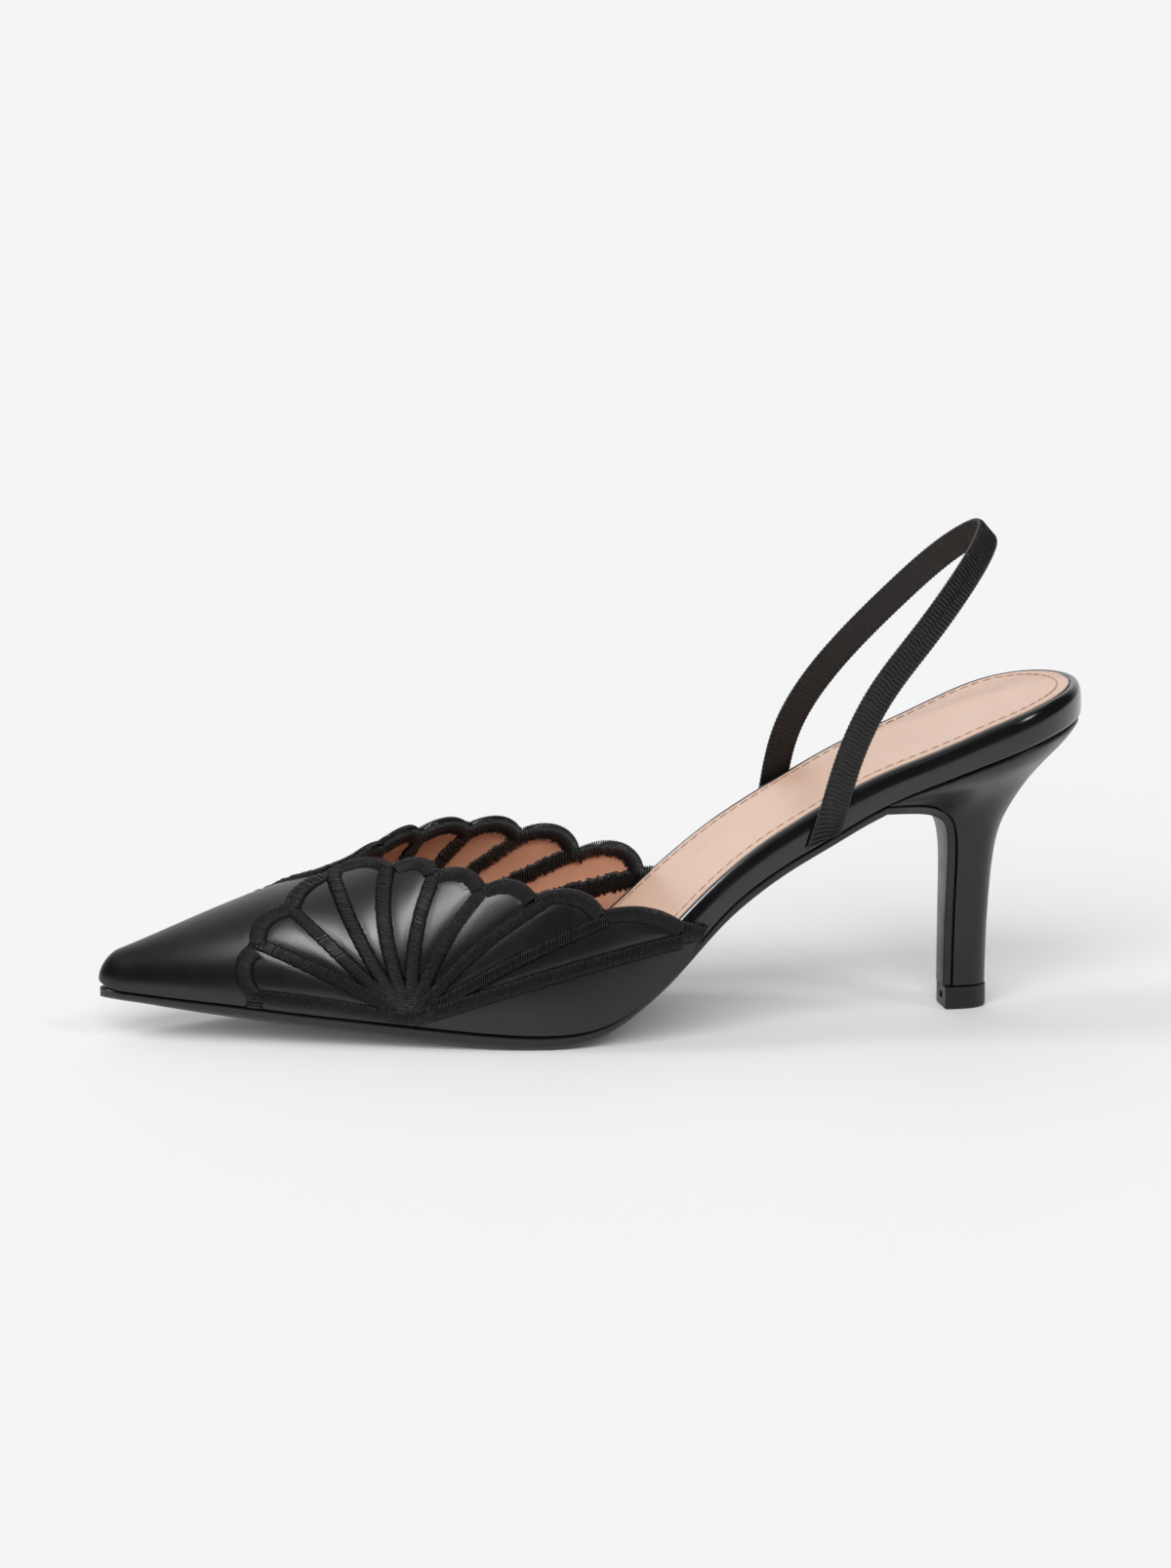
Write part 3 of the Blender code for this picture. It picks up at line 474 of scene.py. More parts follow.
def rounded(distance, reach):
    """Share of the full half width at a distance from a rounded end."""
    share = np.clip(distance / reach, 0.0, 1.0)
    return np.sqrt(share * (2.0 - share))


def unit(vectors):
    """Vectors scaled to length one."""
    return vectors / np.maximum(np.linalg.norm(vectors, axis=-1, keepdims=True), TINY)


def run_length(points):
    """Distance from the first point to each point of a line."""
    return np.concatenate([[0.0], np.cumsum(np.linalg.norm(np.diff(points, axis=0), axis=1))])


def outline_y(side, x, inset=0.0, tip=0.0):
    """The plan's outline on one side. inset moves it in from the outer face, tip shortens the toe."""
    half = (half_lateral(x) if side == LATERAL else half_medial(x)) - inset
    toe = rounded(x - TOE_X - tip, NOSE_ROUND)
    seat = rounded(HEEL_X + FOOTBED_INSET - inset - x, SEAT_ROUND + FOOTBED_INSET - inset)
    return axis_y(x) + side * half * toe * seat


def outline_stations(inset, tip, nose_steps=14, body_steps=150, seat_steps=36):
    """x values from toe to heel, closer together around the nose and the seat."""
    toe = TOE_X + tip
    heel = HEEL_X + FOOTBED_INSET - inset
    quarter = np.radians(np.linspace(0, 90, nose_steps))
    nose = toe + NOSE_ROUND * (1 - np.cos(quarter))
    quarter = np.radians(np.linspace(90, 0, seat_steps))
    seat = heel - (SEAT_ROUND + FOOTBED_INSET - inset) * (1 - np.cos(quarter))
    body = np.linspace(nose[-1], seat[0], body_steps)
    return np.concatenate([nose[:-1], body, seat[1:]])


def outlines(x, inset, tip):
    """The plan's lateral and medial outline."""
    return [outline_y(side, x, inset, tip) for side in SIDES]


def two_lines(x, lateral, medial, z):
    """A lateral and a medial line of points with the same x and z."""
    return [np.stack([x, y, z], axis=1) for y in (lateral, medial)]


def plan_ring(inset, tip, height):
    """A closed ring round the plan at a height by x: toe, lateral side, heel, medial side."""
    x = outline_stations(inset, tip)
    lateral, medial = two_lines(x, *outlines(x, inset, tip), height(x))
    return np.concatenate([lateral, medial[-2:0:-1]])


def bernstein(t):
    """Weights of a cubic curve's four corners."""
    return np.stack([(1 - t) ** 3, 3 * (1 - t) ** 2 * t, 3 * (1 - t) * t**2, t**3], axis=-1)


def section_corners(side, x):
    """Corners (y, z) of the curve of the upper's outer half section at each x."""
    nose = rounded(x - TOE_X, NOSE_ROUND)
    low = NOSE_HEIGHT + (feather_z(x) - NOSE_HEIGHT) * nose
    high = NOSE_HEIGHT + (ridge_z(x) - NOSE_HEIGHT) * nose
    middle = axis_y(x) + ridge_shift(x) * nose
    edge = outline_y(side, x)
    y = [edge, edge + side * WALL_BULGE * nose, middle + CROWN * (edge - middle), middle]
    z = [low, low + WALL_RISE * (high - low), high, high]
    return np.stack([np.stack(y, axis=-1), np.stack(z, axis=-1)], axis=-1)


def section_run(corners):
    """Distance along each section from the feather line to each of its samples."""
    points = np.einsum("sc,ncd->nsd", bernstein(np.linspace(0, 1, SECTION_SAMPLES)), corners)
    steps = np.linalg.norm(np.diff(points, axis=1), axis=2)
    return np.concatenate([np.zeros((len(corners), 1)), np.cumsum(steps, axis=1)], axis=1)


def wall(side, x, girth):
    """Points of the upper's outer face at x, at a distance up the wall from the feather line."""
    x, girth = np.broadcast_arrays(np.asarray(x, float), np.asarray(girth, float))
    corners = section_corners(side, x.ravel())
    run = section_run(corners)
    reach = girth.ravel()
    i = np.clip((run < reach[:, None]).sum(axis=1), 1, SECTION_SAMPLES - 1)
    each = np.arange(len(run))
    below = run[each, i - 1]
    share = (reach - below) / np.maximum(run[each, i] - below, TINY)
    t = (i - 1 + np.clip(share, 0, 1)) / (SECTION_SAMPLES - 1)
    section = np.einsum("nc,ncd->nd", bernstein(t), corners)
    return np.column_stack([x.ravel(), section]).reshape(*x.shape, 3)


def ridge_girth(side, x):
    """Distance along the half section from the feather line to the ridge."""
    x = np.asarray(x, float)
    return section_run(section_corners(side, x.ravel()))[:, -1].reshape(x.shape)


def wall_normal(side, x, girth):
    """Directions that point out of the upper's outer face."""
    low = np.clip(np.minimum(girth, ridge_girth(side, x) - NORMAL_STEP) - NORMAL_STEP, 0, None)
    along = wall(side, x + NORMAL_STEP, girth) - wall(side, x - NORMAL_STEP, girth)
    up = wall(side, x, low + 2 * NORMAL_STEP) - wall(side, x, low)
    return unit(side * np.cross(up, along))


def fan_base(p):
    """How far the fan's base line lies above the feather line."""
    behind = np.maximum(p, 0.0)
    line = feather_z(HUB_X) + BASE_CLIMB * behind**2 / (behind + BASE_EASE)
    return np.where(p > 0, np.maximum(0.0, line - feather_z(HUB_X + p)), 0.0)


def fan_place(side, flat, clear=0.0):
    """Where points (p, h) of the flat fan lie on the wall, as x and girth. p runs from hub to heel."""
    p = flat[..., 0]
    x = HUB_X + p
    girth = fan_base(p) + HUB_RISE + flat[..., 1]
    return x, np.clip(girth, 0.0, ridge_girth(side, x) - clear)


def on_wall(side, flat, lift):
    """Points of the flat fan laid on the wall and lifted off it, and the wall's directions there."""
    x, girth = fan_place(side, flat, RIDGE_CLEAR[side])
    normal = wall_normal(side, x, girth)
    return wall(side, x, girth) + lift[..., None] * normal, normal


def rib_end(side, rib):
    """The valley of the border that a rib belongs to, in the flat pattern."""
    reach, rise = (rib.lateral, 0.0) if side == LATERAL else (rib.medial, rib.rise)
    turn = np.radians(rib.turn)
    return np.array([reach * np.cos(turn), reach * np.sin(turn) + rise])


def rib_half(index):
    """Half the width of a rib."""
    if index == 0:
        return FIRST_RIB_HALF
    return LAST_RIB_HALF if index == len(RIBS) - 1 else RIB_HALF


def rib_frame(side, rib):
    """A rib's start, its direction, the direction forward of it, and its length, in the flat pattern."""
    root = np.array(ROOT)
    reach = rib_end(side, rib) - root
    forward = np.array([-reach[1], reach[0]]) / np.linalg.norm(reach)
    reach = reach + (rib.aim if side == LATERAL else rib.medial_aim) * forward
    length = np.linalg.norm(reach)
    return root, reach / length, np.array([-reach[1], reach[0]]) / length, length


def rib_edge(side, rib, shift, share):
    """Points beside a rib's bowed middle line, at shares of the rib's length."""
    root, along, forward, length = rib_frame(side, rib)
    bow = 4 * rib.sway * share * (1 - share) + shift
    return root + (share * length)[:, None] * along + bow[:, None] * forward


def rib_place(side, rib, points):
    """Share of the rib's length and distance forward of its middle line, for points of the pattern."""
    root, along, forward, length = rib_frame(side, rib)
    share = (points - root) @ along / length
    return share, (points - root) @ forward - 4 * rib.sway * share * (1 - share)


def scallop_circle(side, index):
    """Centre, radius, half opening angle, outward and across directions of a scallop of the border."""
    start = rib_end(side, RIBS[index])
    end = rib_end(side, RIBS[index + 1])
    bulge = RIBS[index].bulge if side == LATERAL else RIBS[index].medial_bulge
    chord = end - start
    half = np.linalg.norm(chord) / 2
    outward = np.array([-chord[1], chord[0]]) / (2 * half)
    radius = (half**2 + bulge**2) / (2 * bulge)
    opening = np.arcsin(min(1.0, half / radius))
    if bulge > half:
        opening = np.pi - opening
    return (start + end) / 2 - outward * (radius - bulge), radius, opening, outward, chord / (2 * half)


def scallop(side, index, inset, shares):
    """Points of a scallop at shares of its arc, moved in from the border."""
    centre, radius, opening, outward, across = scallop_circle(side, index)
    angles = opening * (2 * shares - 1)
    spoke = np.cos(angles)[..., None] * outward + np.sin(angles)[..., None] * across
    return centre + (radius - np.asarray(inset))[..., None] * spoke


def lowered(flat):
    """Points of the topline moved down by the thickness of the thread that wraps it."""
    drop = THROAT_DROP + (TOPLINE_DROP - THROAT_DROP) * ease(flat[..., 0], *DROP_RUN)
    return np.stack([flat[..., 0], flat[..., 1] - drop], axis=-1)


def petal_depth(side, flat):
    """How far inside a petal each point of the flat pattern lies; 0 or less is under the thread."""
    depth = np.full(flat.shape[:-1], OUTSIDE_PETAL)
    for index in range(len(RIBS) - 1):
        front = -rib_half(index) - rib_place(side, RIBS[index], flat)[1]
        back = rib_place(side, RIBS[index + 1], flat)[1] - rib_half(index + 1)
        centre, radius, opening, outward, across = scallop_circle(side, index)
        out = (flat - centre) @ outward
        beside = (flat - centre) @ across
        facing = np.arctan2(np.abs(beside), out) < opening
        inner = np.where(facing, radius - BORDER - np.hypot(out, beside), BORDER)
        above = flat[..., 1] + HUB_RISE
        depth = np.maximum(depth, np.minimum.reduce([front, back, inner, above]))
    below = rib_place(side, RIBS[0], flat)[1] - rib_half(0)
    strip = np.minimum.reduce([below, flat[..., 0] - FOOT_INNER, -flat[..., 0]])
    return np.maximum(depth, strip)


def set_inputs(tree, node, **values):
    """Sets inputs of a shader node by name, with _ for a space: a number, or another node's output."""
    for name, value in values.items():
        socket = node.inputs[name.replace("_", " ")]
        if isinstance(value, bpy.types.NodeSocket):
            tree.links.new(value, socket)
        else:
            socket.default_value = value


def add_node(tree, kind, **values):
    """A new shader node with some of its inputs set."""
    node = tree.nodes.new("ShaderNode" + kind)
    set_inputs(tree, node, **values)
    return node


def ramp_colour(tree, source, stops):
    """The colour of a ramp with two stops."""
    ramp = add_node(tree, "ValToRGB", Fac=source)
    for stop, (place, colour) in zip(ramp.color_ramp.elements, stops):
        stop.position = place
        stop.color = (*colour, 1.0)
    return ramp.outputs["Color"]


# The band of the noise that is spread out between two values
NOISE_LOW = 0.3
NOISE_HIGH = 0.7


def tint(tree, place, low, high, scale):
    """A colour that drifts between two values over the surface."""
    noise = add_node(tree, "TexNoise", Vector=place, Scale=scale, Detail=4.0)
    return ramp_colour(tree, noise.outputs["Fac"], [(NOISE_LOW, low), (NOISE_HIGH, high)])


def drift(tree, place, low, high, scale):
    """A number that drifts between two values over the surface."""
    noise = add_node(tree, "TexNoise", Vector=place, Scale=scale, Detail=3.0)
    band = {"From_Min": NOISE_LOW, "From_Max": NOISE_HIGH, "To_Min": low, "To_Max": high}
    return add_node(tree, "MapRange", Value=noise.outputs["Fac"], **band).outputs["Result"]


# A layer of bump. depth: in mm.
Grain = namedtuple("Grain", "kind scale depth strength stretch", defaults=[(1.0, 1.0, 1.0)])


def relief(tree, place, grains):
    """Layers of bump on top of each other."""
    normal = None
    for grain in grains:
        spot = add_node(tree, "Mapping", Vector=place, Scale=grain.stretch).outputs["Vector"]
        if grain.kind == "cells":
            texture = add_node(tree, "TexVoronoi", Vector=spot, Scale=grain.scale)
            texture.feature = "SMOOTH_F1"
            set_inputs(tree, texture, Smoothness=0.35)
            height = texture.outputs["Distance"]
        else:
            texture = add_node(tree, "TexNoise", Vector=spot, Scale=grain.scale, Detail=3.0)
            height = texture.outputs["Fac"]
        bump = add_node(tree, "Bump", Height=height, Strength=grain.strength, Distance=grain.depth * MM)
        bump.invert = grain.kind == "cells"
        if normal is not None:
            set_inputs(tree, bump, Normal=normal)
        normal = bump.outputs["Normal"]
    return normal


def finish(name, colours, roughness, grains, colour_scale=60, roughness_scale=120, **inputs):
    """A material with drifting colour and roughness, layers of grain, and other inputs by name."""
    material = bpy.data.materials.new(name)
    material.use_nodes = True
    tree = material.node_tree
    place = add_node(tree, "TexCoord").outputs["Object"]
    inputs["Base_Color"] = tint(tree, place, *colours, colour_scale)
    inputs["Roughness"] = drift(tree, place, *roughness, roughness_scale)
    inputs["Normal"] = relief(tree, place, grains)
    set_inputs(tree, tree.nodes["Principled BSDF"], **inputs)
    material.diffuse_color = (*colours[1], 1.0)
    return material


leather = finish(
    "grained_leather",
    ((0.006, 0.006, 0.0066), (0.010, 0.010, 0.0108)),
    (0.27, 0.34),
    [Grain("cells", 4000, 0.020, 0.9, (1.0, 1.0, 0.8)), Grain("noise", 7000, 0.006, 0.4)],
    Specular_IOR_Level=0.52,
)
cut_edge = finish(
    "leather_cut_edge",
    ((0.008, 0.008, 0.008), (0.016, 0.015, 0.015)),
    (0.5, 0.7),
    [Grain("noise", 2500, 0.06, 0.6)],
)
# The lining's colour is partly its own tan and partly painted shade. It is the sock's leather, set darker
# and browner than the sock to stand for the shade inside the shoe.
lining = finish(
    "lining_leather_and_painted_shade",
    ((0.56, 0.270, 0.168), (0.68, 0.350, 0.228)),
    (0.42, 0.58),
    [Grain("noise", 260, 0.12, 0.4), Grain("cells", 2600, 0.03, 0.5)],
)
thread = finish(
    "black_thread",
    ((0.003, 0.003, 0.0035), (0.008, 0.008, 0.009)),
    (0.30, 0.50),
    [Grain("noise", 2600, 0.16, 0.9)],
    colour_scale=900,
    roughness_scale=1500,
)
patent = finish(
    "patent_edge",
    ((0.006, 0.006, 0.007), (0.010, 0.010, 0.011)),
    (0.14, 0.24),
    [Grain("noise", 70, 0.2, 0.2), Grain("noise", 2600, 0.01, 0.3)],
    Coat_Weight=0.4,
    Coat_Roughness=0.08,
)
sock_leather = finish(
    "sock_leather",
    ((0.76, 0.510, 0.385), (0.82, 0.570, 0.440)),
    (0.30, 0.42),
    [Grain("noise", 120, 0.15, 0.3), Grain("cells", 2800, 0.02, 0.4)],
    colour_scale=25,
)
sock_edge = finish(
    "sock_cut_edge",
    ((0.10, 0.045, 0.022), (0.22, 0.110, 0.060)),
    (0.55, 0.75),
    [Grain("noise", 2600, 0.06, 0.6)],
    colour_scale=700,
)
sock_thread = finish(
    "sock_thread",
    ((0.50, 0.290, 0.190), (0.68, 0.430, 0.310)),
    (0.5, 0.65),
    [Grain("noise", 4200, 0.05, 0.6)],
    colour_scale=600,
)
sole_finish = finish(
    "sole_edge_paint",
    ((0.009, 0.009, 0.010), (0.016, 0.016, 0.017)),
    (0.30, 0.42),
    [Grain("noise", 80, 0.2, 0.3), Grain("noise", 1500, 0.03, 0.5)],
)
heel_cover = finish(
    "heel_cover",
    ((0.010, 0.010, 0.011), (0.016, 0.016, 0.017)),
    (0.28, 0.38),
    [Grain("noise", 60, 0.3, 0.25), Grain("cells", 2200, 0.02, 0.4)],
)
plastic = finish(
    "top_piece_plastic",
    ((0.010, 0.010, 0.010), (0.018, 0.018, 0.018)),
    (0.42, 0.55),
    [Grain("noise", 900, 0.05, 0.4)],
)
elastic = finish(
    "elastic_weave",
    ((0.006, 0.006, 0.006), (0.016, 0.015, 0.015)),
    (0.32, 0.50),
    [Grain("noise", 5200, 0.06, 0.7)],
    colour_scale=1200,
    roughness_scale=1500,
)


def reshape(mesh, work):
    """Does one step of work on the shape of a mesh."""
    shape = bmesh.new()
    shape.from_mesh(mesh)
    work(shape)
    shape.to_mesh(mesh)
    shape.free()


def weld(mesh, reach=1e-7):
    """Joins points that lie in one place."""
    reshape(mesh, lambda shape: bmesh.ops.remove_doubles(shape, verts=shape.verts, dist=reach))


def face_out(shape):
    """Turns the faces of a closed shape outward."""
    bmesh.ops.recalc_face_normals(shape, faces=shape.faces)
    if shape.calc_volume(signed=True) < 0:
        bmesh.ops.reverse_faces(shape, faces=shape.faces)


def add_mesh(name, mesh, nodes):
    """A mesh as a piece that rides on the shoe and stands for some of its nodes."""
    piece = bpy.data.objects.new(name, mesh)
    bpy.context.scene.collection.objects.link(piece)
    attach(piece, "root")
    for node in nodes:
        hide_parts(node)
    return piece


def add_piece(name, points, faces, materials, slot, nodes=(), welded=True):
    """A piece from points in millimetres."""
    mesh = bpy.data.meshes.new(name)
    placed = (np.asarray(points, float) + (0.0, CENTRE_Y, 0.0)) * MM
    mesh.from_pydata(placed.tolist(), [], faces)
    mesh.shade_smooth()
    for material in materials:
        mesh.materials.append(material)
    if welded:
        weld(mesh)
    return add_mesh(name, mesh, nodes)


def add_body(name, points, faces, material, slot, node, crease=None):
    """A closed piece with its faces outward, and edges sharper than an angle in degrees kept sharp."""
    body = add_piece(name, points, faces, [material], slot, [node])
    reshape(body.data, face_out)
    if crease is not None:
        body.data.set_sharp_from_angle(angle=np.radians(crease))


def thicken(sheet, thickness, rim_material, even):
    """Gives a sheet its thickness, inward from its face."""
    body = sheet.modifiers.new("Thickness", "SOLIDIFY")
    body.thickness = thickness * MM
    body.offset = -1.0
    body.use_even_offset = even
    body.material_offset = 1
    body.material_offset_rim = rim_material


def grid_faces(columns, rows, first=0):
    """Faces between neighbouring columns of points."""
    corners = ((first + i * rows + j) for i in range(columns - 1) for j in range(rows - 1))
    return [[low, low + rows, low + rows + 1, low + 1] for low in corners]


def cap(count, first, pairing):
    """Faces across a ring, between its two sides. pairing says which point lies opposite point 0."""
    faces = []
    for i in range(count // 2):
        corners = [i, i + 1, (pairing - i - 1) % count, (pairing - i) % count]
        corners = [first + c for c in dict.fromkeys(corners)]
        if len(corners) > 2:
            faces.append(corners)
    return faces


def loft(rings, pairing):
    """Points and faces of a closed body through rings of equal size, with both ends capped."""
    count = len(rings[0])
    faces = []
    for level in range(len(rings) - 1):
        low = level * count
        for i in range(count):
            j = (i + 1) % count
            faces.append([low + i, low + j, low + count + j, low + count + i])
    faces += cap(count, 0, pairing)
    faces += cap(count, (len(rings) - 1) * count, pairing)
    return np.concatenate(rings), faces


def tubes(paths, normals, radii):
    """Points and faces of closed threads. paths, normals: (threads, points, 3). radii: one per point."""
    along = unit(np.gradient(paths, axis=1))
    across = unit(np.cross(along, normals))
    out = np.cross(across, along)
    turns = 2 * np.pi * np.arange(THREAD_SIDES) / THREAD_SIDES
    spokes = np.cos(turns)[:, None] * across[:, :, None] + np.sin(turns)[:, None] * out[:, :, None]
    points = paths[:, :, None] + radii[:, :, None, None] * spokes
    count, steps = paths.shape[:2]
    first = np.arange(count)[:, None, None] * steps * THREAD_SIDES
    ring = np.arange(steps - 1)[None, :, None] * THREAD_SIDES
    i = np.arange(THREAD_SIDES)[None, None]
    j = (i + 1) % THREAD_SIDES
    low = first + ring
    quads = np.stack([low + i, low + i + THREAD_SIDES, low + j + THREAD_SIDES, low + j], axis=-1)
    ends = np.arange(count)[:, None] * steps * THREAD_SIDES + np.arange(THREAD_SIDES)
    caps = np.concatenate([ends, ends[:, ::-1] + (steps - 1) * THREAD_SIDES])
    return points.reshape(-1, 3), quads.reshape(-1, 4).tolist() + caps.tolist()


def join(parts):
    """Several lots of points and faces as one."""
    points = []
    faces = []
    first = 0
    for some_points, some_faces in parts:
        points.append(some_points)
        faces += [[first + corner for corner in face] for face in some_faces]
        first += len(some_points)
    return np.concatenate(points), faces


def make_upper():
    """The leather over the last, its petals swollen between the ribs, thickened inward to its lining."""
    points = []
    faces = []
    for side in SIDES:
        feet, tops, girths = (np.array(column) for column in zip(*skin_columns(side)))
        rises = np.linspace(0.0, 1.0, SKIN_ROWS)
        x = feet[:, None] + (tops - feet)[:, None] * rises
        girth = girths[:, None] * rises
        p = x - HUB_X
        flat = np.stack([p, girth - fan_base(p) - HUB_RISE], axis=-1)
        depth = np.maximum(petal_depth(side, flat), 0.0)
        puff = PETAL_PUFF * (1 - np.exp(-depth / PETAL_EDGE))
        wave = SKIN_WAVE * np.sin(x / WAVE_ALONG + side) * np.sin(girth / WAVE_UP)
        puff += wave * ease(girths[:, None] - girth, 0.0, WAVE_FADE)
        skin = wall(side, x, girth) + puff[..., None] * wall_normal(side, x, girth)
        some = grid_faces(len(feet), SKIN_ROWS, sum(map(len, points)))
        faces += some if side == LATERAL else [face[::-1] for face in some]
        points.append(skin.reshape(-1, 3))
    points = np.concatenate(points)
    materials = [leather, lining, cut_edge]
    upper = add_piece("upper_leather", points, faces, materials, "black_leather", ["upper"])
    thicken(upper, UPPER_WALL, 2, True)
    return upper


def skin_columns(side):
    """Columns of the leather: x at the feather line, x at the top, and girth at the top."""
    throat_x = HUB_X + rib_end(side, RIBS[THROAT_RIB])[0]
    quarter = np.radians(np.linspace(0, 90, NOSE_COLUMNS))
    nose = TOE_X + NOSE_ROUND * (1 - np.cos(quarter))
    vamp = np.linspace(nose[-1], FAN_FROM_X, VAMP_COLUMNS)
    fan = np.linspace(FAN_FROM_X, throat_x, FAN_COLUMNS)
    front = np.concatenate([nose[:-1], vamp[:-1], fan])
    columns = [(x, x, girth) for x, girth in zip(front, ridge_girth(side, front))]
    shares = np.linspace(0, 1, SCALLOP_COLUMNS + 1)[1:]
    for index in range(THROAT_RIB, len(RIBS) - 1):
        start = HUB_X + rib_end(side, RIBS[index])[0]
        end = HUB_X + rib_end(side, RIBS[index + 1])[0]
        x, girth = fan_place(side, lowered(scallop(side, index, np.zeros(SCALLOP_COLUMNS), shares)))
        columns += list(zip(start + (end - start) * shares, x, girth))
    x, girth = fan_place(side, np.array([TAIL_TOP[side]]))
    columns.append((HUB_X + TAIL_FOOT[0], x[0], girth[0]))
    return columns


def laid(side, starts, ends, crown, inside=False, fray=FRAY, radius=THREAD):
    """Stitches between pairs of points of the flat pattern, bowed over a pad on the wall."""
    count = len(starts)
    starts, ends = starts.copy(), ends.copy()
    crown = np.broadcast_to(np.reshape(crown, (-1, 1)), (count, 1))
    direction = unit(ends - starts)
    starts -= direction * rng.uniform(*END_SPREAD, (count, 1)) * fray
    ends += direction * rng.uniform(*END_SPREAD, (count, 1)) * fray
    t = np.linspace(0, 1, STITCH_POINTS)
    flat = starts[:, None] + (ends - starts)[:, None] * t[:, None]
    bow = np.sqrt(np.clip(1 - np.abs(2 * t - 1) ** BOW, 0, 1))
    height = crown * rng.uniform(*CROWN_SPREAD, (count, 1)) * bow - THREAD_SINK
    paths, normals = on_wall(side, flat, -UPPER_WALL - height if inside else height)
    radii = radius * rng.uniform(*RADIUS_SPREAD, (count, 1)) * np.ones(STITCH_POINTS)
    return tubes(paths, -normals if inside else normals, radii)


def rib_stitches(side, index, pitch, wider=0.0):
    """Start and end points of the stitches across one rib."""
    rib = RIBS[index]
    length = rib_frame(side, rib)[3]
    half = rib_half(index) + wider
    count = int((length - RIB_START) / pitch)
    share = np.linspace(RIB_START / length, 1.0 + RIB_OVER / length, count)
    slant = STITCH_SLANT / length
    rise = RIB_ROOT_RISE + (1 - RIB_ROOT_RISE) * ease(share * length, 0.0, RIB_FULL)
    return rib_edge(side, rib, half, share + slant), rib_edge(side, rib, -half, share - slant), rise


def border_shares(side, index, pitch):
    """Where the stitches of one scallop of the border lie, as shares of its arc."""
    radius, opening = scallop_circle(side, index)[1:3]
    count = int(2 * opening * radius / pitch)
    return (np.arange(count) + 0.5) / count


def flat_border(side, index, pitch):
    """Start and end points of the stitches of a scallop that lies on the vamp."""
    shares = border_shares(side, index, pitch)
    return [scallop(side, index, np.full(len(shares), inset), shares) for inset in (0.0, BORDER)]


# A topline stitch from its inner end on the outer face, over the edge, to its end on the lining. inset:
# how far in from the topline. lift: height above that face. over: how far past the edge.
TOPLINE_TURNS = table("inset lift over", [
    (2.70, -0.15, 0.0),
    (2.45, 0.25, 0.0),
    (1.90, 0.55, 0.0),
    (1.20, 0.92, 0.0),
    (0.50, 1.08, 0.0),
    (0.00, 0.85, 0.30),
    (0.00, 0.15, 0.72),
    (0.00, -0.90, 0.85),
    (0.00, -1.95, 0.60),
    (0.40, -2.45, 0.0),
    (1.20, -2.40, 0.0),
    (2.00, -2.15, 0.0),
    (2.40, -1.65, 0.0),
])


def topline_stitches(side, index, pitch):
    """Stitches that wrap a scallop of the topline."""
    shares = border_shares(side, index, pitch)
    count = len(shares)
    insets, lifts, overs = np.array(TOPLINE_TURNS).T
    insets = insets * (1 + rng.uniform(*TURN_SPREAD, (count, 1)))
    insets[:, 0] += rng.uniform(*INNER_SPREAD, count)
    insets[:, -1] += rng.uniform(-LINING_FRAY, LINING_FRAY, count)
    flat = lowered(scallop(side, index, insets, np.repeat(shares[:, None], len(lifts), axis=1)))
    paths, normals = on_wall(side, flat, np.tile(lifts, (count, 1)))
    rims = [scallop(side, index, np.full(count, inset), shares) for inset in (-RIM_STEP, RIM_STEP)]
    out, low = (on_wall(side, lowered(rim), np.zeros(count))[0] for rim in rims)
    paths += overs[None, :, None] * unit(out - low)[:, None]
    facing = np.gradient(paths, axis=1)
    normals = unit(np.cross(np.cross(facing, normals), facing))
    radii = THREAD * rng.uniform(*WRAP_SPREAD, (count, 1)) * np.ones(len(lifts))
    return tubes(paths, normals, radii)


def bars(side, start_line, end_line, pitch, **look):
    """Stitches between two straight lines of the flat pattern."""
    lines = np.array([start_line, end_line], float)
    count = max(2, int(np.linalg.norm(lines[0, 1] - lines[0, 0]) / pitch))
    share = np.linspace(0, 1, count)[:, None]
    starts, ends = (line[0] + (line[1] - line[0]) * share for line in lines)
    return laid(side, starts, ends, BORDER_CROWN, **look)


def tail_lines(side):
    """Upper and lower line of the stitches at the tail of the topline."""
    tail = rib_end(side, RIBS[-1])
    return [tail, TAIL_TOP[side]], [(tail[0] - TAIL_STEP, TAIL_FOOT[1] + TAIL_STEP), TAIL_FOOT]


def make_shell(side):
    """The satin-stitch shell: ribs, hub and border, thread by thread."""
    lots = []
    for index in range(len(RIBS)):
        starts, ends, rise = rib_stitches(side, index, PITCH)
        lots.append(laid(side, starts, ends, RIB_CROWN * rise))
    for index in range(len(RIBS) - 1):
        if index < THROAT_RIB:
            lots.append(laid(side, *flat_border(side, index, PITCH), BORDER_CROWN))
        else:
            lots.append(topline_stitches(side, index, PITCH))
    front = rib_end(side, RIBS[0])
    foot = -HUB_RISE + GAP
    top = front[1] + FRONT_TOP
    outer = [(front[0] - FRONT_OUT, top), (front[0] - FRONT_FOOT_OUT, foot)]
    lots.append(bars(side, outer, [(FOOT_INNER, top), (FOOT_INNER, foot)], PITCH))
    hub_top = [(p, HUB_BAR_Z) for p in HUB_BAR_TOP]
    lots.append(bars(side, hub_top, [(p, foot) for p in HUB_BAR_FOOT], PITCH))
    lots.append(bars(side, *tail_lines(side), PITCH))
    name = f"shell_stitches_{SIDES[side]}"
    nodes = [f"shell_embroidery_{SIDES[side]}"]
    return add_piece(name, *join(lots), [thread], "black_thread", nodes, welded=False)


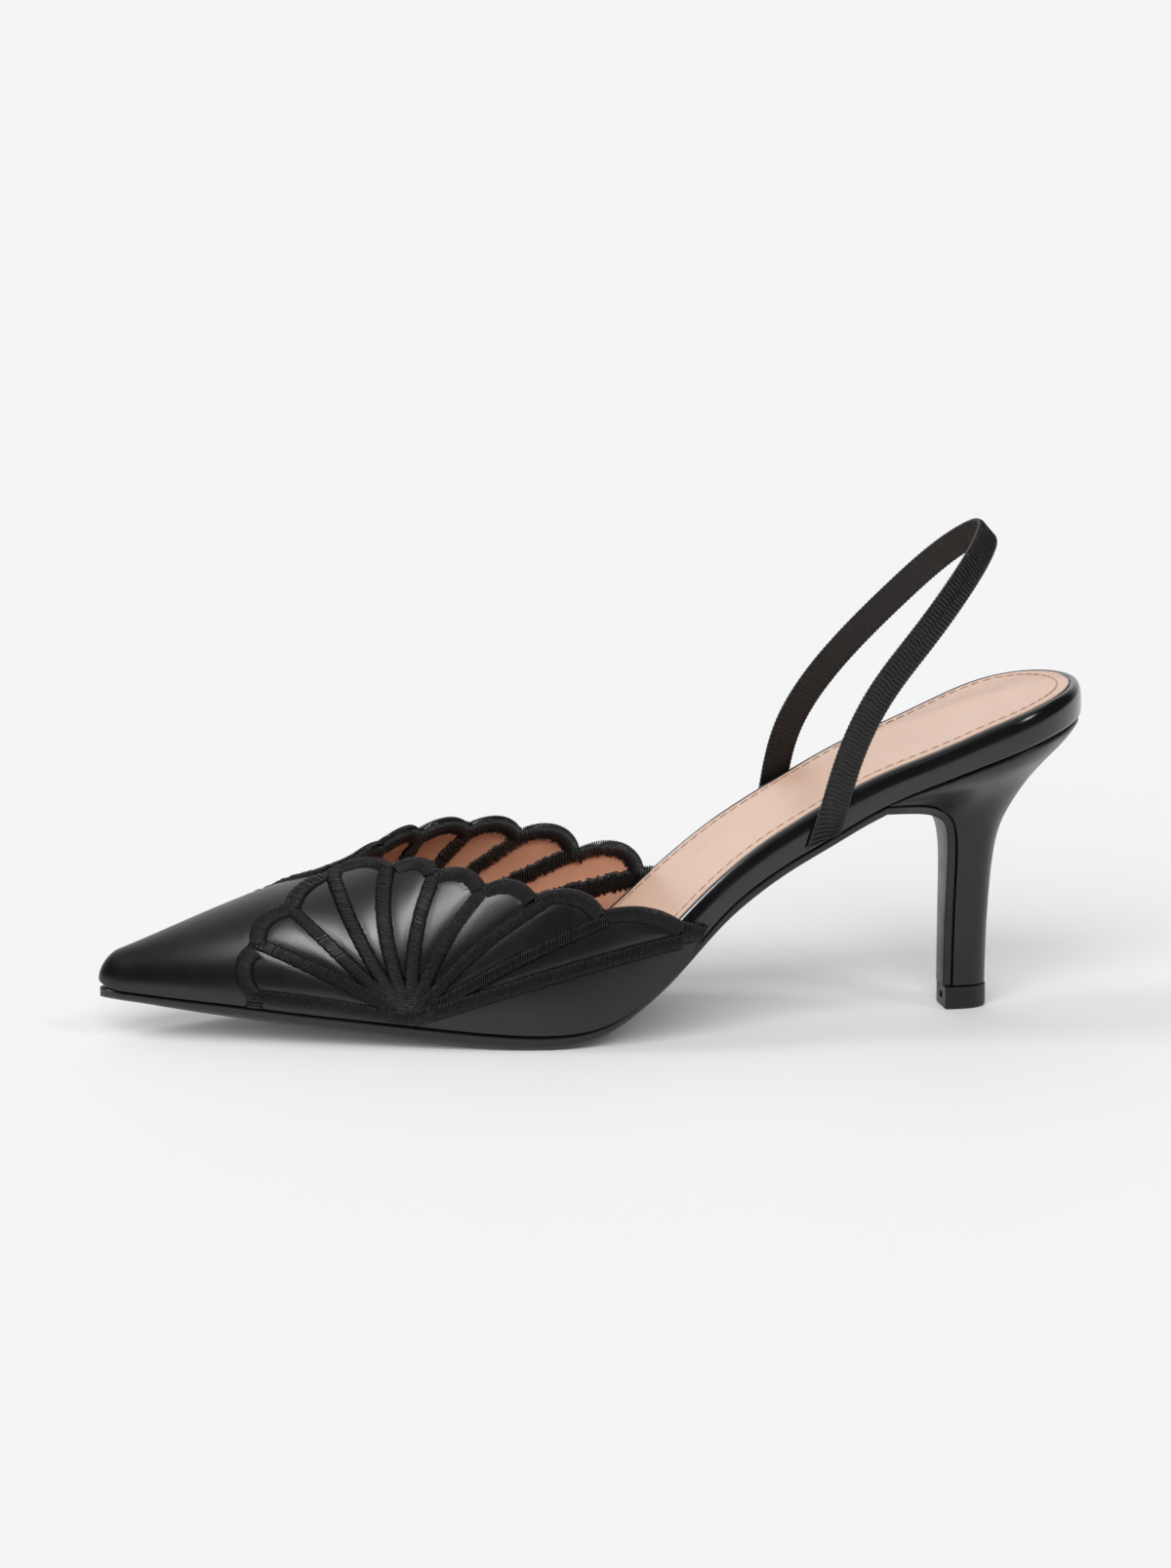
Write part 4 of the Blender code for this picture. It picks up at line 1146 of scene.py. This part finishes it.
def make_lining_stitches(side):
    """The back of the embroidery, looser and ragged, where it comes through the lining."""
    lots = []
    look = {"inside": True, "radius": LINING_THREAD}
    for index in range(LINING_FIRST_RIB, len(RIBS)):
        starts, ends, _ = rib_stitches(side, index, LINING_PITCH, LINING_WIDER)
        lots.append(laid(side, starts, ends, LINING_CROWN, fray=LINING_FRAY, **look))
    lots.append(bars(side, *tail_lines(side), LINING_PITCH, **look))
    name = f"lining_stitches_{SIDES[side]}"
    return add_piece(name, *join(lots), [thread], "black_thread", welded=False)


def make_footbed():
    """The insole board with its wrapped, rounded and glossy edge."""
    rings = []
    for layer in FOOTBED_EDGE:
        height = lambda x, row=layer: feather_z(x) + row.share * (footbed_z(x) - feather_z(x)) - row.sink
        inset = FOOTBED_INSET + layer.inset
        rings.append(plan_ring(inset, inset + FOOTBED_TOE_CLEAR, height))
    add_body("footbed_wrap", *loft(rings, 0), patent, "black_patent_edge", "footbed", FOOTBED_CREASE)


def make_sock():
    """The tan sock: a thin sheet, slightly dished, its edge rolled down, with a brown cut edge."""
    tip = SOCK_INSET + FOOTBED_TOE_CLEAR
    x = outline_stations(SOCK_INSET, tip)
    share = (1 - np.cos(np.linspace(0, np.pi, SOCK_ACROSS + 1))) / 2
    lateral, medial = outlines(x, SOCK_INSET, tip)
    width = (medial - lateral)[:, None]
    y = lateral[:, None] + width * share
    edge = np.minimum(np.minimum(share, 1 - share) * width, np.minimum(x - x[0], x[-1] - x)[:, None])
    z = footbed_z(x)[:, None] + SOCK_RISE - SOCK_ROLL * np.exp(-edge / SOCK_ROLL_REACH)
    z -= SOCK_DISH * ease(edge, *SOCK_DISH_RUN)
    points = np.stack([np.broadcast_to(x[:, None], y.shape), y, z], axis=-1).reshape(-1, 3)
    faces = grid_faces(len(x), SOCK_ACROSS + 1)
    sock = add_piece("sock", points, faces, [sock_leather, sock_edge], "tan_leather", ["insole_sock"])
    thicken(sock, SOCK_THICKNESS, 1, False)


def make_sock_seam():
    """A line of separate stitches just inside the sock's edge."""
    inset = SOCK_INSET + SOCK_SEAM_INSET
    ring = plan_ring(inset, inset + FOOTBED_TOE_CLEAR, lambda x: footbed_z(x) + SOCK_RISE)
    run = run_length(ring)
    starts = np.arange(0.0, run[-1] - SOCK_STITCH_STEP, SOCK_STITCH_STEP)
    share = np.linspace(0, 1, SOCK_STITCH_POINTS)
    at = starts[:, None] + SOCK_STITCH * share
    paths = np.stack([np.interp(at, run, ring[:, i]) for i in range(3)], axis=-1)
    paths = paths[paths[:, 0, 0] > SOCK_SEAM_FROM_X]
    paths[..., 2] += SOCK_STITCH_SINK * (np.sqrt(np.clip(1 - (2 * share - 1) ** 2, 0, 1)) - 1)
    normals = np.broadcast_to([0.0, 0.0, 1.0], paths.shape)
    stitches = tubes(paths, normals, np.full(paths.shape[:2], SOCK_THREAD))
    add_piece("sock_stitches", *stitches, [sock_thread], "tan_leather", welded=False)


def heel_sections(rings):
    """The heel's table, read more finely along a smooth line through each column."""
    rows = np.arange(len(HEEL))
    columns = [natural_spline(rows, [getattr(row, name) for row in HEEL]) for name in Section._fields]
    steps = np.linspace(0, len(HEEL) - 1, rings)
    return [Section(*(column(step) for column in columns)) for step in steps]


def heel_ring(row, height=None):
    """A section with a flat front and a round back: lateral front corner, back, medial front corner."""
    widest = row.belly * np.linspace(0.0, 1.0, HEEL_FRONT_STEPS + 1)
    behind = row.belly + (1 - row.belly) * np.sin(np.radians(np.linspace(0, 90, HEEL_BACK_STEPS + 1)))[1:]
    shares = np.concatenate([widest, behind])
    swell = row.front_half + (row.half - row.front_half) * np.sin(np.pi / 2 * widest / row.belly)
    past = (behind - row.belly) / (1 - row.belly)
    halves = np.concatenate([swell, row.half * np.sqrt(np.clip(1 - past**2, 0, 1))])
    x = row.front_x + (row.back_x - row.front_x) * shares
    if height is None:
        ends = feather_z(row.front_x) + (feather_z(row.back_x) - feather_z(row.front_x)) * shares
        z = row.front_z + (row.back_z - row.front_z) * shares + row.follow * (feather_z(x) - ends)
    else:
        z = height(x)
    middle = axis_y(x) + row.follow * SEAT_SHIFT
    lateral, medial = two_lines(x, middle - halves, middle + halves, z)
    return np.concatenate([lateral, medial[-2::-1]])


def swollen(row, swell):
    """A section of the heel that stands out further at its sides and back."""
    wider = {name: getattr(row, name) + swell for name in ("back_x", "half", "front_half")}
    return row._replace(**wider)


def make_heel():
    """The covered heel, from the tip up through the flare to the seat under the footbed."""
    rings = []
    last = len(HEEL) - 1
    for step, row in zip(np.linspace(0, last, HEEL_RINGS), heel_sections(HEEL_RINGS)):
        rings.append(heel_ring(swollen(row, RIM_SWELL * ease(step, RIM_SWELL_FROM, last))))
    rim = HEEL[-1]
    ends = [rim.front_x, rim.back_x]
    drops = [feather_z(rim.front_x) - rim.front_z, feather_z(rim.back_x) - rim.back_z]
    for lip in HEEL_LIP:
        height = lambda x, up=lip.share: feather_z(x) - GAP * up - (1 - up) * np.interp(x, ends, drops)
        rings.append(heel_ring(swollen(rim, RIM_SWELL - lip.inset), height))
    solid = loft(rings, len(rings[0]) - 1)
    add_body("heel_covered", *solid, heel_cover, "black_heel_cover", "heel", CREASE)


def sole_ring(inner, outward, lateral, medial, edge, drop, bevel):
    """A section of the outsole with a rounded lower corner. inner (x, z) lies against footbed or heel."""
    turn = np.radians(np.linspace(0, 90, SOLE_ROUND))
    upright = SOLE_UPRIGHT * edge
    depths = np.concatenate([SOLE_EDGE_DEPTHS * edge, upright + (edge - upright + drop) * np.sin(turn)])
    insets = np.concatenate([SOLE_EDGE_INSETS, SOLE_ROUND_INSET + bevel * (1 - np.cos(turn))])
    x = inner[0] + outward[0] * depths
    z = np.maximum(0.0, inner[1] + outward[1] * depths)
    near, far = two_lines(x, lateral + insets, medial - insets, z)
    return np.concatenate([near, far[::-1]])


def make_outsole():
    """The outsole, from the toe through the arch to the heel, and down the heel breast as a thin flap."""
    rings = []
    quarter = np.radians(np.linspace(SOLE_TIP_ANGLE, 90, SOLE_NOSE))
    nose = TOE_X + FOREPART_INSET + NOSE_ROUND * (1 - np.cos(quarter))
    for x in np.concatenate([nose, np.linspace(nose[-1], WAIST_END_X, SOLE_STATIONS)[1:]]):
        waist = ease(x, WAIST_FROM_X, WAIST_TO_X)
        inset = FOREPART_INSET + (WAIST_INSET - FOREPART_INSET) * waist
        lateral, medial = outlines(x, inset, FOREPART_INSET)
        bevel = FOREPART_BEVEL + (WAIST_BEVEL - FOREPART_BEVEL) * waist
        bevel = min(bevel, BEVEL_LIMIT * (medial - lateral))
        inner = (x, feather_z(x) - GAP)
        rings.append(sole_ring(inner, (0, -1), lateral, medial, sole_edge(x), sole_drop(x), bevel))
    front = heel_sections(HEEL_RINGS)[::-1]
    line = np.array([(row.front_x, row.front_z) for row in front])
    along = unit(np.gradient(line, axis=0))
    outward = np.stack([along[:, 1], -along[:, 0]], axis=1)
    thin = BREAST_FLAP - FLAP_BEVEL
    for row, place, out in zip(front, line, outward):
        middle = axis_y(row.front_x) + row.follow * SEAT_SHIFT
        reach = row.front_half - GAP
        sides = (middle - reach, middle + reach)
        rings.append(sole_ring(place + GAP * out, out, *sides, thin, FLAP_BEVEL, FLAP_BEVEL))
    solid = loft(rings, len(rings[0]) - 1)
    add_body("outsole_dressed", *solid, sole_finish, "black_sole", "outsole", CREASE)


def make_top_piece():
    """The hard tip under the heel, its edges slightly rounded."""
    mesh = frame["nodes"]["top_piece"].data.copy()
    mesh.materials.clear()
    mesh.materials.append(plastic)
    weld(mesh, 1e-6)
    piece = add_mesh("top_piece_moulded", mesh, ["top_piece"])
    bevel = piece.modifiers.new("Edges", "BEVEL")
    bevel.width = TIP_BEVEL * MM
    bevel.segments = TIP_BEVEL_STEPS
    bevel.limit_method = "ANGLE"
    bevel.angle_limit = np.radians(CREASE)


def sling_frames(columns, at):
    """The sling's centre line at some distances along it, with its width and face directions there."""
    shifts = (at, at - TANGENT_STEP, at + TANGENT_STEP)
    centre, before, behind = (np.stack([column(t) for column in columns], axis=-1) for t in shifts)
    along = unit(behind - before)
    lean = np.array(SLING_LEAN)
    width = unit(lean - (along @ lean)[..., None] * along)
    return centre, width, np.cross(along, width)


def sling_section(phase):
    """Across and out positions of one section of the elastic, from the middle of one beaded edge round.

    The outer face has two columns of cross ribs, staggered by half a rib. The inner face is smoother.
    """
    bead = SLING_BEAD * (SLING_BEAD_MEAN + SLING_BEAD_WAVE * np.cos(phase))
    half = SLING_WIDTH / 2 - SLING_BEAD
    turns = np.radians(np.linspace(-SLING_BEAD_TURN, SLING_BEAD_TURN, SLING_BEAD_POINTS))
    face = np.linspace(half - SLING_BEAD_SEAT, -half + SLING_BEAD_SEAT, SLING_FACE_POINTS)
    stagger = np.pi * ease(face, -SLING_STAGGER, SLING_STAGGER)
    rib = SLING_FACE + SLING_RIB_HEIGHT * np.sqrt(np.abs(np.cos((phase + stagger) / 2)))
    smooth = SLING_INNER_FACE * SLING_FACE
    smooth += SLING_INNER_RIB * SLING_RIB_HEIGHT * np.abs(np.cos(phase / 2))
    right = [(half + bead * np.cos(turn), bead * np.sin(turn)) for turn in turns]
    left = [(-half - bead * np.cos(turn), bead * np.sin(turn)) for turn in turns[::-1]]
    inner = [(across, smooth) for across in face]
    outer = list(zip(face[::-1], -rib[::-1]))
    middle = SLING_BEAD_POINTS // 2
    return np.array(right[middle:] + inner + left + outer + right[:middle])


def make_sling():
    """The elastic strap with its cross ribs and beaded edges."""
    line = np.array(SLING)
    run = run_length(line)
    columns = [natural_spline(run, line[:, i]) for i in range(3)]
    start = SLING_CUT * SLING_WIDTH / 2
    at = np.arange(start, run[-1], SLING_STEP)
    sections = np.array([sling_section(2 * np.pi * place / SLING_RIB) for place in at])
    across = sections[..., 0]
    out = sections[..., 1]
    shift = SLING_CUT * across * np.clip(1 - (at - start) / SLING_CUT_RUN, 0, 1)[:, None]
    centre, width, face = sling_frames(columns, at[:, None] + shift)
    rings = list(centre + across[..., None] * width + out[..., None] * face)
    add_body("sling_elastic", *loft(rings, 0), elastic, "black_elastic", "sling_strap")


# The floor's half width in metres and its finish. The room is dim in front of the shoe, bright behind it.
FLOOR_REACH = 30.0
FLOOR_CORNERS = [(-1, -1), (1, -1), (1, 1), (-1, 1)]
FLOOR = {
    "Base_Color": (0.68, 0.68, 0.683, 1.0),
    "Roughness": 0.65,
    "Specular_IOR_Level": 0.2,
    "Emission_Color": (1.0, 1.0, 1.0, 1.0),
    "Emission_Strength": 0.06,
}
ROOM = [(0.45, (0.045, 0.045, 0.048)), (0.85, (0.80, 0.80, 0.81))]


def make_stage():
    """A plain pale floor."""
    mesh = bpy.data.meshes.new("floor")
    corners = [(FLOOR_REACH * x, FLOOR_REACH * y, 0) for x, y in FLOOR_CORNERS]
    mesh.from_pydata(corners, [], [[0, 1, 2, 3]])
    floor = bpy.data.objects.new("floor", mesh)
    material = bpy.data.materials.new("pale_floor")
    material.use_nodes = True
    set_inputs(material.node_tree, material.node_tree.nodes["Principled BSDF"], **FLOOR)
    mesh.materials.append(material)
    bpy.context.scene.collection.objects.link(floor)
    return floor


def make_room():
    """A soft surrounding whose brightness changes from front to back."""
    world = bpy.data.worlds.new("studio")
    bpy.context.scene.world = world
    world.use_nodes = True
    tree = world.node_tree
    direction = add_node(tree, "TexCoord").outputs["Generated"]
    split = add_node(tree, "SeparateXYZ", Vector=direction)
    set_inputs(tree, tree.nodes["Background"], Color=ramp_colour(tree, split.outputs["Y"], ROOM))


# Soft lamps at a great distance: the direction that each comes from, its strength and its width in
# degrees. lights: all pieces and the floor, the pieces below the upper, or the floor alone.
Lamp = namedtuple("Lamp", "name place strength width lights")
LAMPS = [
    Lamp("left_softbox", (-0.70, 0.15, 0.70), 1.9, 20, "below"),
    Lamp("wide_softbox", (-0.20, 0.10, 0.97), 0.5, 80, "all"),
    Lamp("back_softbox", (-0.20, 0.65, 0.73), 0.20, 50, "all"),
    Lamp("side_softbox", (0.50, -0.55, 0.67), 0.5, 16, "all"),
    Lamp("floor_left_softbox", (-0.70, 0.15, 0.70), 0.8, 20, "floor"),
    Lamp("floor_front_softbox", (-0.30, -0.77, 0.56), 3.6, 50, "floor"),
]

# Small softboxes close to the upper, for the upper alone: the place of each and what it faces, its size
# in metres, its strength in watts and the angle that it spreads over
Near = namedtuple("Near", "name place faces size strength spread")
NEAR_LAMPS = [
    Near("fan_softbox", (-0.117, -0.101, 0.170), (-0.055, -0.019, 0.028), 0.075, 0.0145, 44),
    Near("lining_softbox", (0.050, -0.120, 0.200), (0.010, 0.027, 0.036), 0.050, 0.0200, 40),
]


def add_lamp(name, kind, place, faces, strength, receivers=None):
    """A lamp that lights every piece, or only those of a collection."""
    light = bpy.data.lights.new(name, kind)
    light.energy = strength
    lamp = bpy.data.objects.new(name, light)
    lamp.location = place
    lamp.rotation_euler = (Vector(place) - Vector(faces)).to_track_quat("Z", "Y").to_euler()
    bpy.context.scene.collection.objects.link(lamp)
    if receivers is not None:
        lamp.light_linking.receiver_collection = receivers
    return light


def make_lamps(upper_pieces, floor):
    """Large soft lamps round the shoe, and small ones close to the upper."""
    lit = {name: bpy.data.collections.new(f"lit_{name}") for name in ("upper", "below", "floor")}
    for piece in bpy.context.scene.objects:
        if piece.type == "MESH" and piece != floor:
            lit["upper" if piece in upper_pieces else "below"].objects.link(piece)
    lit["floor"].objects.link(floor)
    for lamp in LAMPS:
        light = add_lamp(lamp.name, "SUN", lamp.place, (0, 0, 0), lamp.strength, lit.get(lamp.lights))
        light.angle = np.radians(lamp.width)
    for lamp in NEAR_LAMPS:
        light = add_lamp(lamp.name, "AREA", lamp.place, lamp.faces, lamp.strength, lit["upper"])
        light.shape = "DISK"
        light.size = lamp.size
        light.spread = np.radians(lamp.spread)


def make_camera():
    """The photograph's camera."""
    cos_e = np.cos(CAMERA_ELEVATION)
    forward = Vector((np.sin(CAMERA_YAW) * cos_e, np.cos(CAMERA_YAW) * cos_e, -np.sin(CAMERA_ELEVATION)))
    right = Vector((np.cos(CAMERA_YAW), -np.sin(CAMERA_YAW), 0.0))
    up = right.cross(forward)
    camera = bpy.data.cameras.new("camera")
    camera.sensor_fit = "VERTICAL"
    camera.sensor_height = SENSOR
    camera.lens = PIXELS_PER_METRE * CAMERA_DISTANCE * SENSOR / PHOTO_HEIGHT
    item = bpy.data.objects.new("camera", camera)
    place = Vector(CAMERA_TARGET) - CAMERA_DISTANCE * forward
    turn = Matrix((right, up, -forward)).transposed().to_4x4()
    item.matrix_world = Matrix.Translation(place) @ turn
    bpy.context.scene.collection.objects.link(item)
    bpy.context.scene.camera = item


bpy.context.scene.view_settings.view_transform = "Standard"
make_camera()
floor = make_stage()
make_room()
upper_pieces = [make_upper()]
for each_side in SIDES:
    upper_pieces.append(make_shell(each_side))
    upper_pieces.append(make_lining_stitches(each_side))
make_footbed()
make_sock()
make_sock_seam()
make_outsole()
make_heel()
make_top_piece()
make_sling()
make_lamps(upper_pieces, floor)
